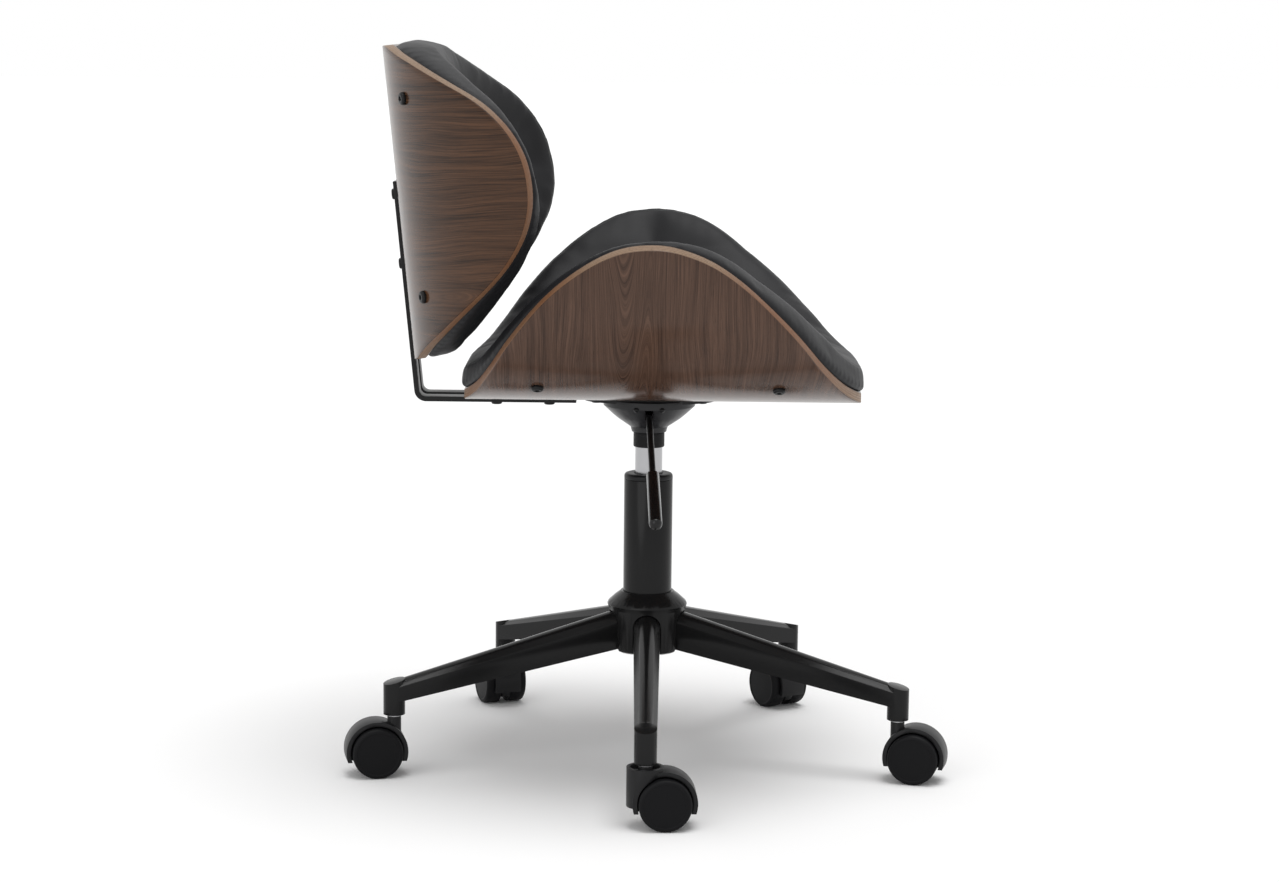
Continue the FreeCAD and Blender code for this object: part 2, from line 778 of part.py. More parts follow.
def on_seat(shape):
    return moved(shape, 0, 0, seat_under)


def back_matrix():
    # The back stands on its rear line, leaning: its y runs up and its z points to the front
    lean = math.radians(back_lean)
    s, c = math.sin(lean), math.cos(lean)
    return Matrix(1, 0, 0, 0, 0, s, -c, back_middle_y, 0, c, s, back_middle_z, 0, 0, 0, 1)


def on_back(shape):
    return shape.transformShape(back_matrix(), True)


def strap_xs():
    return [-strap_pitch / 2, strap_pitch / 2]


def screw_places(sheet, ys):
    girth = sheet.half_girth * (seat_screw_girth_share if sheet is seat_sheet else back_screw_girth_share)
    return [(side * girth, y) for side in (-1, 1) for y in ys]


def make_shell(sheet, nut_places, screw_ys):
    shell = sheet.cut_sheet(0, ply, 0)
    for x, y in nut_places:
        shell = shell.cut(rod(bolt_radius + slack_gap, Vector(x, y, -overrun), Vector(x, y, ply + overrun)))
        shell = shell.cut(rod(nut_flange_radius + running_gap, Vector(x, y, ply - nut_flange),
                              Vector(x, y, ply + overrun)))
    for girth, y in screw_places(sheet, screw_ys):
        start = sheet.point(girth, y, -ply)
        shell = shell.cut(rod(screw_radius + slack_gap, start, sheet.point(girth, y, 2 * ply)))
    return shell


def make_board(sheet, screw_ys):
    sheet_board = sheet.cut_sheet(ply, ply + board, -board_inset)
    for girth, y in screw_places(sheet, screw_ys):
        sheet_board = sheet_board.cut(rod(insert_radius + running_gap, sheet.point(girth, y, 0),
                                          sheet.point(girth, y, 2 * ply + board)))
    return sheet_board


def make_cushion(sheet, middle, edge, wing):
    pad = sheet.cushion(ply + soft_gap, middle, edge, wing)
    room = sheet.cut_sheet(ply - overrun, ply + board + soft_gap, soft_gap - board_inset)
    return pad.cut(room)


def make_bolt(head_depth, tip_depth, x, y):
    # Round-head socket bolt along z, its head below head_depth
    base = Vector(x, y, head_depth)
    head = Part.makeCone(bolt_head_radius, bolt_head_radius * head_top_share, bolt_head_height,
                         base, Vector(0, 0, -1))
    return head.fuse(rod(bolt_radius, base, Vector(x, y, tip_depth)))


def make_nut(x, y):
    # Blind flanged nut, flush in the inner face and closed over the bolt's tip
    return rod(nut_flange_radius, Vector(x, y, ply - nut_flange), Vector(x, y, ply))


def make_side_screw(sheet, girth, y):
    outer = sheet.point(girth, y, 0)
    inward = sheet.inward(girth)
    head = Part.makeCone(screw_head_radius, screw_head_radius * head_top_share, screw_head_height,
                         outer, inward * -1)
    return head.fuse(rod(screw_radius, outer, outer + inward * (ply + board)))


def make_insert(sheet, girth, y):
    start = sheet.point(girth, y, ply + running_gap)
    end = sheet.point(girth, y, ply + board)
    inward = sheet.inward(girth) * overrun
    return rod(insert_radius, start, end).cut(rod(screw_radius + press_gap, start - inward, end + inward))


def make_strap(x):
    # L-shaped flat bar: under the seat, round a bend and up the back's rear face
    lean = math.radians(back_lean)
    up = Vector(0, math.sin(lean), math.cos(lean))
    rear = Vector(0, math.cos(lean), -math.sin(lean))
    middle = Vector(0, back_middle_y, back_middle_z)
    top = middle + up * strap_rise
    inner = middle - up * ((back_middle_z - seat_under) / math.cos(lean))
    under = seat_under - strap_thickness
    outer = middle + rear * strap_thickness
    outer = outer - up * ((outer.z - under) / math.cos(lean))
    path = [Vector(0, strap_front, seat_under), inner, top, top + rear * strap_thickness, outer,
            Vector(0, strap_front, under)]
    face = Part.Face(Part.makePolygon(path + path[:1]))
    face.translate(Vector(x - strap_width / 2, 0, 0))
    bar = face.extrude(Vector(strap_width, 0, 0))

    def bend_edge(place):
        return [e for e in bar.Edges if abs((e.CenterOfMass - place).y) < press_gap
                and abs((e.CenterOfMass - place).z) < press_gap][0]

    bar = bar.makeFillet(strap_inner_bend, [bend_edge(inner)])
    bar = bar.makeFillet(strap_inner_bend + strap_thickness, [bend_edge(outer)])
    for y in seat_bolt_ys:
        bar = bar.cut(rod(bolt_radius + slack_gap, Vector(x, y, under - overrun),
                          Vector(x, y, seat_under + overrun)))
    for rise in back_bolt_rises:
        place = middle + up * rise + Vector(x, 0, 0)
        bar = bar.cut(rod(bolt_radius + slack_gap, place - rear * overrun,
                          place + rear * (strap_thickness + overrun)))
    return bar


def save_base():
    leg = make_leg()
    for index in range(leg_count):
        save("leg_%d" % (index + 1), turned(leg, leg_angles[index]))
    save("base_hub", make_hub())
    save("caster_stems", make_stems())
    save("column_tube", make_column())
    save("column_cap_ring", make_cap_ring())
    save("column_guide_bush", make_bush())
    save("thrust_bearing", make_bearing())


def save_lift():
    save("piston_rod", make_piston_rod())
    save("rod_clip", make_rod_clip())
    save("pressure_tube", make_pressure_tube())
    save("release_pin", make_release_pin())
    save("mounting_bowl", make_bowl())
    save("seat_plate", make_seat_plate())
    save("tube_collar", make_collar())
    save("lever_rod", make_lever())
    save("lever_grip", make_grip())
    save("lever_bracket", make_lever_bracket())
    save("lever_pivot_pin", make_pivot_pin())


def save_seat():
    strap_places = [(x, y) for x in strap_xs() for y in seat_bolt_ys]
    plate_places = [(0, side * plate_bolt_spacing / 2) for side in (-1, 1)]
    save("seat_shell", on_seat(make_shell(seat_sheet, strap_places + plate_places, seat_screw_ys)))
    save("seat_pad_board", on_seat(make_board(seat_sheet, seat_screw_ys)))
    save("seat_pad", on_seat(make_cushion(seat_sheet, seat_pad_middle, seat_pad_edge, seat_pad_wing)))
    tip = ply - nut_flange
    save("seat_strap_bolts", group([on_seat(make_bolt(-strap_thickness, tip, x, y))
                                    for x, y in strap_places]))
    save("plate_bolts", group([on_seat(make_bolt(-plate_thickness, tip, x, y)) for x, y in plate_places]))
    save("seat_nuts", group([on_seat(make_nut(x, y)) for x, y in strap_places + plate_places]))
    places = screw_places(seat_sheet, seat_screw_ys)
    save("seat_side_screws", group([on_seat(make_side_screw(seat_sheet, g, y)) for g, y in places]))
    save("seat_inserts", group([on_seat(make_insert(seat_sheet, g, y)) for g, y in places]))


def save_back():
    strap_places = [(x, y) for x in strap_xs() for y in back_bolt_rises]
    save("back_shell", on_back(make_shell(back_sheet, strap_places, back_screw_rises)))
    save("back_pad_board", on_back(make_board(back_sheet, back_screw_rises)))
    save("back_pad", on_back(make_cushion(back_sheet, back_pad_middle, back_pad_edge, back_pad_wing)))
    tip = ply - nut_flange
    save("back_strap_bolts", group([on_back(make_bolt(-strap_thickness, tip, x, y))
                                    for x, y in strap_places]))
    save("back_nuts", group([on_back(make_nut(x, y)) for x, y in strap_places]))
    places = screw_places(back_sheet, back_screw_rises)
    save("back_side_screws", group([on_back(make_side_screw(back_sheet, g, y)) for g, y in places]))
    save("back_inserts", group([on_back(make_insert(back_sheet, g, y)) for g, y in places]))
    save("strap_right", make_strap(strap_xs()[0]))
    save("strap_left", make_strap(strap_xs()[1]))


save_base()
save_casters()
save_lift()
save_seat()
save_back()
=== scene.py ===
import dataclasses
import functools
import json
import math

import bmesh
import bpy
from bpy.props import FloatProperty, FloatVectorProperty, PointerProperty
from mathutils import Matrix, Vector, kdtree, noise


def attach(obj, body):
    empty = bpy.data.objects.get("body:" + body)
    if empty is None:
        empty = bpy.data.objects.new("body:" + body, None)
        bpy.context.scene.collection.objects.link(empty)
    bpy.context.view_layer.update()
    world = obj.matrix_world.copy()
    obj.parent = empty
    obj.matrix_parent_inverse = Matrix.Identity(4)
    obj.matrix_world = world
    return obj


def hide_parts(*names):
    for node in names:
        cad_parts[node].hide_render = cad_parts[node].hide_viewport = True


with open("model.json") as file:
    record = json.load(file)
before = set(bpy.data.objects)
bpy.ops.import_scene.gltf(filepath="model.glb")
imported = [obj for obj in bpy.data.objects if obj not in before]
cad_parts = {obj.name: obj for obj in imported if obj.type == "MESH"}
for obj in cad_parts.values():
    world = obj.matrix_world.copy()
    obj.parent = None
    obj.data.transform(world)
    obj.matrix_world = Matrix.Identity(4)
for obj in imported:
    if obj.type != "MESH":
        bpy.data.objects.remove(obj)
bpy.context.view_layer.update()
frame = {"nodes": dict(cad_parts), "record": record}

bl_info = {
    "name": "Bentwood Task Chair",
    "version": (1, 0, 0),
    "blender": (4, 5, 0),
    "location": "View3D > Sidebar > Chair",
    "description": "Dresses the packed frame of a bentwood task chair",
    "category": "Object",
}

MM = 0.001

# Outlines of the two shells on their unrolled sheets, as shares of half girth and of length
SEAT_OUTLINE_SHARES = [
    (0.0, -1.0), (0.10, -1.0), (0.18, -0.992), (0.25, -0.965), (0.34, -0.911), (0.50, -0.801), (0.67, -0.664),
    (0.82, -0.488), (0.93, -0.305), (0.985, -0.14), (1.0, 0.0), (0.98, 0.18), (0.91, 0.372), (0.80, 0.562),
    (0.65, 0.723), (0.50, 0.83), (0.36, 0.91), (0.25, 0.97), (0.18, 0.994), (0.10, 1.0), (0.0, 1.0)]
BACK_OUTLINE_SHARES = [
    (0.0, -1.0), (0.10, -1.0), (0.19, -0.998), (0.27, -0.975), (0.35, -0.93), (0.54, -0.785), (0.73, -0.592),
    (0.86, -0.42), (0.94, -0.255), (0.985, -0.09), (1.0, 0.08), (0.985, 0.27), (0.93, 0.454), (0.84, 0.61),
    (0.70, 0.745), (0.53, 0.872), (0.39, 0.948), (0.30, 0.985), (0.22, 0.999), (0.11, 1.0), (0.0, 1.0)]

# Places and sizes of the frame that the pieces follow, in metres and degrees
SEAT_UNDER = 0.379
BACK_LEAN = 5.83
BACK_Y = 0.2533
BACK_Z = 0.5758
STRAP_THICKNESS = 0.005
STRAP_XS = (-0.018, 0.018)
LEG_ANGLES = [180.0, 108.0, 36.0, -36.0, -108.0]
CASTER_HEADINGS = [-87.0, 102.0, 21.0, 32.0, -104.0]
SOCKET_CIRCLE = 0.268
CASTER_TRAIL = 0.0186
WHEEL_RADIUS = 0.0255


# Sizes and colours that can be changed in the sidebar


def size_setting(title, use, value):
    return FloatProperty(name=title, description=use, default=value, unit="LENGTH")


def tint_setting(title, use, value):
    return FloatVectorProperty(name=title, description=use, default=value, size=3, subtype="COLOR")


class ChairShellSettings(bpy.types.PropertyGroup):
    ply: size_setting("Ply Thickness", "Thickness of the bent plywood", 0.011)
    edge_round: size_setting("Edge Rounding", "Rounding of the plywood's edges", 0.0009)
    seat_dark: tint_setting("Seat Dark", "Dark streaks of the seat's walnut", (0.040, 0.0210, 0.0140))
    seat_light: tint_setting("Seat Light", "Light streaks of the seat's walnut", (0.116, 0.0640, 0.0430))
    back_dark: tint_setting("Back Dark", "Dark streaks of the back's walnut", (0.0190, 0.0085, 0.0042))
    back_light: tint_setting("Back Light", "Light streaks of the back's walnut", (0.1010, 0.0470, 0.0235))
    edge_colour: tint_setting("Ply Edge", "Colour of the cut plies", (0.32, 0.22, 0.148))


class ChairPadSettings(bpy.types.PropertyGroup):
    swell: size_setting("Swell", "Most that the filling pushes the leather out", 0.003)
    voxel: size_setting("Cloth Grid", "Size of the cloth's faces", 0.0045)
    leather: tint_setting("Leather", "Colour of the leather", (0.0125, 0.0125, 0.0140))


class ChairSteelSettings(bpy.types.PropertyGroup):
    gloss_black: tint_setting("Gloss Black", "Lacquer of legs and column", (0.0095, 0.0095, 0.0098))
    matt_black: tint_setting("Matt Black", "Coating of straps and bolts", (0.0055, 0.0055, 0.006))
    edge_round: size_setting("Edge Rounding", "Rounding of steel edges", 0.0008)


class ChairStageSettings(bpy.types.PropertyGroup):
    floor_colour: tint_setting("Floor", "Colour of the floor", (0.95, 0.95, 0.95))
    sky: FloatProperty(name="Fill Light", description="Strength of the even light all round",
                       default=0.60, min=0.0)
    key: FloatProperty(name="Key Light", description="Strength of the large soft light overhead",
                       default=1.5, min=0.0)


# Small helpers for modelling


def assign(target, **values):
    for key, value in values.items():
        setattr(target, key, value)


def clamp(value):
    return min(max(value, 0.0), 1.0)


def deselect():
    if bpy.context.object and bpy.context.object.mode != "OBJECT":
        bpy.ops.object.mode_set(mode="OBJECT")
    bpy.ops.object.select_all(action="DESELECT")


def activate(piece):
    deselect()
    piece.select_set(True)
    bpy.context.view_layer.objects.active = piece


def begin_edit(piece):
    activate(piece)
    bpy.ops.object.mode_set(mode="EDIT")
    bpy.ops.mesh.select_all(action="SELECT")


def end_edit():
    bpy.ops.object.mode_set(mode="OBJECT")


def face_outwards():
    """Turn all faces of the piece in edit mode outwards."""
    bpy.ops.mesh.select_all(action="SELECT")
    bpy.ops.mesh.normals_make_consistent(inside=False)


def pick(piece, kind, test):
    """Select the verts, edges or faces of a piece in edit mode that pass a test."""
    bpy.context.tool_settings.mesh_select_mode = (kind == "verts", kind == "edges", kind == "faces")
    bpy.ops.mesh.select_all(action="DESELECT")
    mesh = bmesh.from_edit_mesh(piece.data)
    chosen = [item for item in getattr(mesh, kind) if test(item)]
    for item in chosen:
        item.select_set(True)
    bmesh.update_edit_mesh(piece.data)
    if not chosen:
        raise RuntimeError("No %s to select on %s" % (kind, piece.name))


def modify(piece, kind, **settings):
    """Apply one modifier to a piece."""
    activate(piece)
    modifier = piece.modifiers.new(kind.title(), kind)
    assign(modifier, **settings)
    bpy.ops.object.modifier_apply(modifier=modifier.name)


def round_edges(piece, width, segments, angle):
    """Round all edges sharper than an angle."""
    modify(piece, "BEVEL", width=width, segments=segments, limit_method="ANGLE",
           angle_limit=math.radians(angle), harden_normals=False, use_clamp_overlap=True)


def smooth_shade(piece, angle):
    activate(piece)
    bpy.ops.object.shade_smooth_by_angle(angle=math.radians(angle))


def frame_body(node):
    """Body of the frame that carries a node."""
    for body, members in frame["record"]["behaviour"]["bodies"].items():
        if node in members:
            return body
    raise RuntimeError("No body carries " + node)


def finish_piece(piece, name, materials, nodes, body=None):
    """Name a finished piece, give it its materials and hand it to the body of what it replaces."""
    piece.name = name
    piece.data.name = name
    piece.data.materials.clear()
    for material in materials:
        piece.data.materials.append(material)
    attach(piece, body or frame_body(nodes[0]))
    if nodes:
        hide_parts(*nodes)


def copy_of(piece, matrix):
    """Copy with its own mesh, moved by a matrix in its mesh."""
    double = bpy.data.objects.new(piece.name, piece.data.copy())
    bpy.context.scene.collection.objects.link(double)
    double.data.transform(matrix)
    return double


def copies_at(model, places):
    """One piece made of copies of a model, each at its place with +Z along its direction."""
    copies = [copy_of(model, aimed(place, direction)) for place, direction in places]
    deselect()
    for copy in copies:
        copy.select_set(True)
    bpy.context.view_layer.objects.active = copies[0]
    bpy.ops.object.join()
    return bpy.context.object


def aimed(place, direction):
    """Matrix that takes +Z to a direction, at a place."""
    return Matrix.Translation(place) @ Vector(direction).to_track_quat("Z", "Y").to_matrix().to_4x4()


def node_copy(node):
    """Merged copy of a frame node, to be rounded and finished."""
    piece = bpy.data.objects.new(node + "_dressed", frame["nodes"][node].data.copy())
    bpy.context.scene.collection.objects.link(piece)
    begin_edit(piece)
    bpy.ops.mesh.remove_doubles(threshold=2e-6)
    bpy.ops.mesh.dissolve_limited(angle_limit=math.radians(0.6))
    end_edit()
    return piece


def loose_ring(points):
    """Closed ring of edges through points, selected in edit mode."""
    deselect()
    bpy.ops.mesh.primitive_circle_add(vertices=len(points), radius=1.0, fill_type="NOTHING")
    piece = bpy.context.object
    for vertex, point in zip(piece.data.vertices, points):
        vertex.co = point
    begin_edit(piece)
    return piece


def lathe(profile, steps):
    """Turned piece about Z from a closed profile of (radius, height) points."""
    piece = loose_ring([(radius, 0.0, height) for radius, height in profile])
    bpy.ops.mesh.spin(steps=steps, angle=math.tau, center=(0, 0, 0), axis=(0, 0, 1))
    end_edit()
    begin_edit(piece)
    bpy.ops.mesh.remove_doubles(threshold=1e-6)
    bpy.ops.mesh.dissolve_degenerate(threshold=1e-7)
    face_outwards()
    end_edit()
    return piece


# Bent sheets: girth and length on the unrolled sheet, and depth into it


@dataclasses.dataclass
class Sheet:
    """Bent plywood sheet: flat middle, an arc each side and a straight wing."""
    flat: float
    bend: float
    angle: float
    half_girth: float
    front: float
    rear: float
    outline: list
    place: Matrix

    def __post_init__(self):
        self.middle = (self.rear - self.front) / 2

    def point(self, girth, along, depth):
        side = -1.0 if girth < 0 else 1.0
        reach = abs(girth)
        turn = min(max((reach - self.flat) / self.bend, 0.0), self.angle)
        rest = max(reach - self.flat - self.bend * self.angle, 0.0)
        x = min(reach, self.flat) + self.bend * math.sin(turn) + rest * math.cos(turn)
        z = self.bend * (1.0 - math.cos(turn)) + rest * math.sin(turn)
        local = Vector((side * (x - depth * math.sin(turn)), along, z + depth * math.cos(turn)))
        return self.place @ local

    def outside(self, girth, along, cover=0.0):
        """Place on the outer face, or on what covers it there, and the direction out of it."""
        outwards = (self.point(girth, along, 0.0) - self.point(girth, along, MM)).normalized()
        return self.point(girth, along, -cover), outwards

    def rim(self, count, grow=0.0, side_grow=0.0):
        """Evenly spaced points of the whole closed outline, grown a little."""
        half = self.half_girth + side_grow
        right = [Vector((g * half, a * ((self.rear if a > 0 else self.front) + grow)))
                 for g, a in self.outline]
        knots = right + [Vector((-p.x, p.y)) for p in reversed(right) if p.x > 0]
        fine = []
        total, steps = len(knots), 24
        for k in range(total):
            a, b, c, d = (knots[(k + j) % total] for j in (-1, 0, 1, 2))
            for step in range(steps):
                t = step / steps
                fine.append(0.5 * (2 * b + (c - a) * t + (2 * a - 5 * b + 4 * c - d) * t ** 2
                                   + (3 * b - a - 3 * c + d) * t ** 3))
        after = fine[1:] + fine[:1]
        lengths = [0.0]
        for here, there in zip(fine, after):
            lengths.append(lengths[-1] + (there - here).length)
        places = []
        k = 0
        for index in range(count):
            target = lengths[-1] * index / count
            while lengths[k + 1] < target:
                k += 1
            share = (target - lengths[k]) / max(lengths[k + 1] - lengths[k], 1e-12)
            places.append(fine[k].lerp(after[k], share))
        return places


def back_place():
    lean = math.radians(BACK_LEAN)
    s, c = math.sin(lean), math.cos(lean)
    return Matrix(((1, 0, 0, 0), (0, s, -c, BACK_Y), (0, c, s, BACK_Z), (0, 0, 0, 1)))


SEAT_SHEET = Sheet(flat=0.028, bend=0.225, angle=math.radians(61.0), half_girth=0.3275, front=0.214,
                   rear=0.187, outline=SEAT_OUTLINE_SHARES, place=Matrix.Translation((0, 0, SEAT_UNDER)))
BACK_SHEET = Sheet(flat=0.030, bend=0.225, angle=math.radians(60.0), half_girth=0.296, front=0.1567,
                   rear=0.1567, outline=BACK_OUTLINE_SHARES, place=back_place())


def ring_disc(rim, insets, half, length, middle):
    """Flat disc of rings inside an outline, the outermost first; each ring's number is its height in mm."""
    wide, long = 1 - insets[0] / half, 1 - insets[0] / length
    piece = loose_ring([(place.x * wide, middle + (place.y - middle) * long, 0.0) for place in rim])
    bpy.context.tool_settings.mesh_select_mode = (False, True, False)
    for before, after in zip(insets, insets[1:]):
        bpy.ops.mesh.extrude_edges_move(TRANSFORM_OT_translate={"value": (0, 0, MM)})
        scale = ((half - after) / (half - before), (length - after) / (length - before), 1.0)
        bpy.ops.transform.resize(value=scale, center_override=(0.0, middle, 0.0))
    bpy.ops.mesh.edge_face_add()
    bpy.ops.mesh.poke()
    end_edit()
    return piece


def bend_sheet(piece, sheet):
    """Write the unrolled place of every corner to a UV map, then bend the flat piece."""
    mesh = piece.data
    layer = mesh.uv_layers.get("Unrolled") or mesh.uv_layers.new(name="Unrolled")
    for loop in mesh.loops:
        layer.data[loop.index].uv = mesh.vertices[loop.vertex_index].co.xy
    for vertex in mesh.vertices:
        vertex.co = sheet.point(*vertex.co)


# Node groups and materials


def feed(tree, node, inputs):
    """Link a node's inputs to sockets, or set them to plain values."""
    for key, value in inputs.items():
        if isinstance(value, bpy.types.NodeSocket):
            tree.links.new(value, node.inputs[key])
        else:
            node.inputs[key].default_value = value
    return node


def put(tree, kind, inputs=None, **settings):
    """New shader node of a kind, with its inputs fed."""
    node = tree.nodes.new("ShaderNode" + kind)
    assign(node, **settings)
    return feed(tree, node, inputs or {})


def rgba(colour, strength=1.0):
    return (*(part * strength for part in colour), 1.0)


def blend_colour(tree, factor, first, second, mode="MIX"):
    inputs = {0: factor, 6: first, 7: second}
    return put(tree, "Mix", inputs, data_type="RGBA", blend_type=mode).outputs[2]


def blend_value(tree, factor, first, second):
    return put(tree, "Mix", {0: factor, 2: first, 3: second}, data_type="FLOAT").outputs[0]


def calculate(tree, operation, first, second=0.0, clamped=False):
    return put(tree, "Math", {0: first, 1: second}, operation=operation, use_clamp=clamped).outputs[0]


def times(tree, first, second):
    return calculate(tree, "MULTIPLY", first, second)


def plus(tree, first, second):
    return calculate(tree, "ADD", first, second)


def minus(tree, first, second):
    return calculate(tree, "SUBTRACT", first, second)


def absolute(tree, value):
    return calculate(tree, "ABSOLUTE", value)


def span(tree, value, low, high, to_low=0.0, to_high=1.0):
    """Value taken from one range to another and held within it."""
    limits = {"From Min": low, "From Max": high, "To Min": to_low, "To Max": to_high}
    return put(tree, "MapRange", {"Value": value, **limits}).outputs[0]


def cloud(tree, vector, scale, detail=4.0, rough=0.55):
    inputs = {"Vector": vector, "Scale": scale, "Detail": detail, "Roughness": rough}
    return put(tree, "TexNoise", inputs).outputs["Fac"]


def streaks(tree, vector, stretch, detail, rough=0.55):
    """Noise with its own scale along each axis."""
    stretched = put(tree, "Mapping", {"Vector": vector, "Scale": (*stretch, 1.0)}).outputs[0]
    return cloud(tree, stretched, 1.0, detail, rough)


def relief(tree, height, strength, distance=0.0002):
    return put(tree, "Bump", {"Height": height, "Strength": strength, "Distance": distance}).outputs["Normal"]


def object_place(tree):
    return put(tree, "TexCoord").outputs["Object"]


def sheet_place(tree):
    return put(tree, "UVMap", uv_map="Unrolled").outputs["UV"]


def attribute(tree, name):
    return put(tree, "Attribute", attribute_name=name).outputs["Fac"]


def node_group(name, inputs):
    """Let a function that fills a new node group give the group, built the first time only."""
    kinds = {0: "NodeSocketFloat", 3: "NodeSocketVector", 4: "NodeSocketColor"}

    def wrap(build):
        @functools.wraps(build)
        def fetch():
            group = bpy.data.node_groups.get(name)
            if group is None:
                group = bpy.data.node_groups.new(name, "ShaderNodeTree")
                for title, value in inputs.items():
                    kind = kinds[len(value) if isinstance(value, tuple) else 0]
                    socket = group.interface.new_socket(name=title, in_out="INPUT", socket_type=kind)
                    socket.default_value = value
                for title, kind in (("Colour", kinds[4]), ("Roughness", kinds[0]), ("Height", kinds[0])):
                    group.interface.new_socket(name=title, in_out="OUTPUT", socket_type=kind)
                surface = build(group, group.nodes.new("NodeGroupInput").outputs)
                feed(group, group.nodes.new("NodeGroupOutput"),
                     dict(zip(("Colour", "Roughness", "Height"), surface)))
            return group
        return fetch
    return wrap


def made_once(build):
    """Let a function that fills a new material give the material, built the first time only."""
    @functools.wraps(build)
    def fetch(name, *values, **more):
        material = bpy.data.materials.get(name)
        if material is None:
            material = bpy.data.materials.new(name)
            material.use_nodes = True
            tree = material.node_tree
            build(tree, tree.nodes["Principled BSDF"], *values, **more)
        return material
    return fetch


@node_group("Surface Mottle", {
    "Colour": (0.1, 0.1, 0.1, 1.0), "Roughness": 0.4, "Grain Size": 600.0, "Unevenness": 0.1})
def surface_mottle(group, source):
    """Fine unevenness of a coating: brightness, roughness and height."""
    place = object_place(group)
    fine = cloud(group, place, source["Grain Size"], 3.0, 0.5)
    change = times(group, minus(group, cloud(group, place, 14.0), 0.5), source["Unevenness"])
    factor = plus(group, 1.0, times(group, change, 2.0))
    tint = put(group, "CombineColor", {"Red": factor, "Green": factor, "Blue": factor}).outputs[0]
    colour = blend_colour(group, 1.0, source["Colour"], tint, "MULTIPLY")
    speck = times(group, minus(group, fine, 0.5), 0.06)
    rough = calculate(group, "ADD", plus(group, source["Roughness"], change), speck, clamped=True)
    return colour, rough, fine


@node_group("Walnut Figure", {
    "Vector": (0.0, 0.0, 0.0), "Dark": (0.04, 0.02, 0.01, 1.0), "Light": (0.1, 0.06, 0.04, 1.0),
    "Figure Place": 0.03, "Figure": 1.0})
def walnut_figure(group, source):
    """Walnut streaks along the sheet's girth, with pores and one cathedral figure."""
    place = source["Vector"]
    parts = put(group, "SeparateXYZ", {"Vector": place}).outputs
    girth, along = parts["X"], parts["Y"]
    drift = times(group, minus(group, streaks(group, place, (3.0, 9.0), 2.0), 0.5), 0.035)
    # Cathedral figure: nested curves that open towards the rim
    off = absolute(group, minus(group, along, source["Figure Place"]))
    curve = times(group, calculate(group, "POWER", off, 1.7), 34.0)
    bow = minus(group, curve, times(group, absolute(group, girth), 0.25))
    bow = plus(group, bow, times(group, drift, 1.5))
    mark = times(group, span(group, off, 0.034, 0.012), source["Figure"])
    lengthwise = plus(group, along, drift)
    across = blend_value(group, mark, lengthwise, bow)
    flow = put(group, "CombineXYZ", {"X": girth, "Y": across}).outputs[0]
    broad = times(group, streaks(group, flow, (3.0, 170.0), 5.0, 0.65), 0.45)
    lines = times(group, streaks(group, flow, (11.0, 900.0), 3.0, 0.7), 0.55)
    level = span(group, plus(group, broad, lines), 0.38, 0.62)
    colour = blend_colour(group, level, source["Dark"], source["Light"])
    straight = put(group, "CombineXYZ", {"X": girth, "Y": lengthwise}).outputs[0]
    pore = span(group, streaks(group, straight, (70.0, 1500.0), 2.0, 0.5), 0.62, 0.72)
    pore_colour = (0.012, 0.007, 0.005, 1.0)
    colour = blend_colour(group, times(group, pore, 0.45), colour, pore_colour)
    rough = span(group, level, 0.0, 1.0, 0.30, 0.24)
    return colour, rough, minus(group, times(group, level, 0.3), pore)


@made_once
def coated_material(tree, shader, colour, roughness, grain, bump, metallic=0.0, specular=0.5,
                    unevenness=0.1):
    """Lacquered, moulded or bare surface with a fine grain."""
    mottle = put(tree, "Group", {
        "Colour": rgba(colour), "Roughness": roughness, "Grain Size": grain, "Unevenness": unevenness},
        node_tree=surface_mottle()).outputs
    feed(tree, shader, {
        "Base Color": mottle["Colour"], "Roughness": mottle["Roughness"], "Metallic": metallic,
        "Normal": relief(tree, mottle["Height"], bump), "Specular IOR Level": specular})


@made_once
def veneer_material(tree, shader, dark, light, figure_place, figure):
    """Walnut under a thin satin lacquer, with its grain along the girth."""
    wood = put(tree, "Group", {
        "Vector": sheet_place(tree), "Dark": rgba(dark), "Light": rgba(light),
        "Figure Place": figure_place, "Figure": figure}, node_tree=walnut_figure()).outputs
    feed(tree, shader, {
        "Base Color": wood["Colour"], "Roughness": wood["Roughness"],
        "Normal": relief(tree, wood["Height"], 0.03), "Specular IOR Level": 0.0,
        "Coat Weight": 1.0, "Coat IOR": 1.3, "Coat Roughness": 0.2})


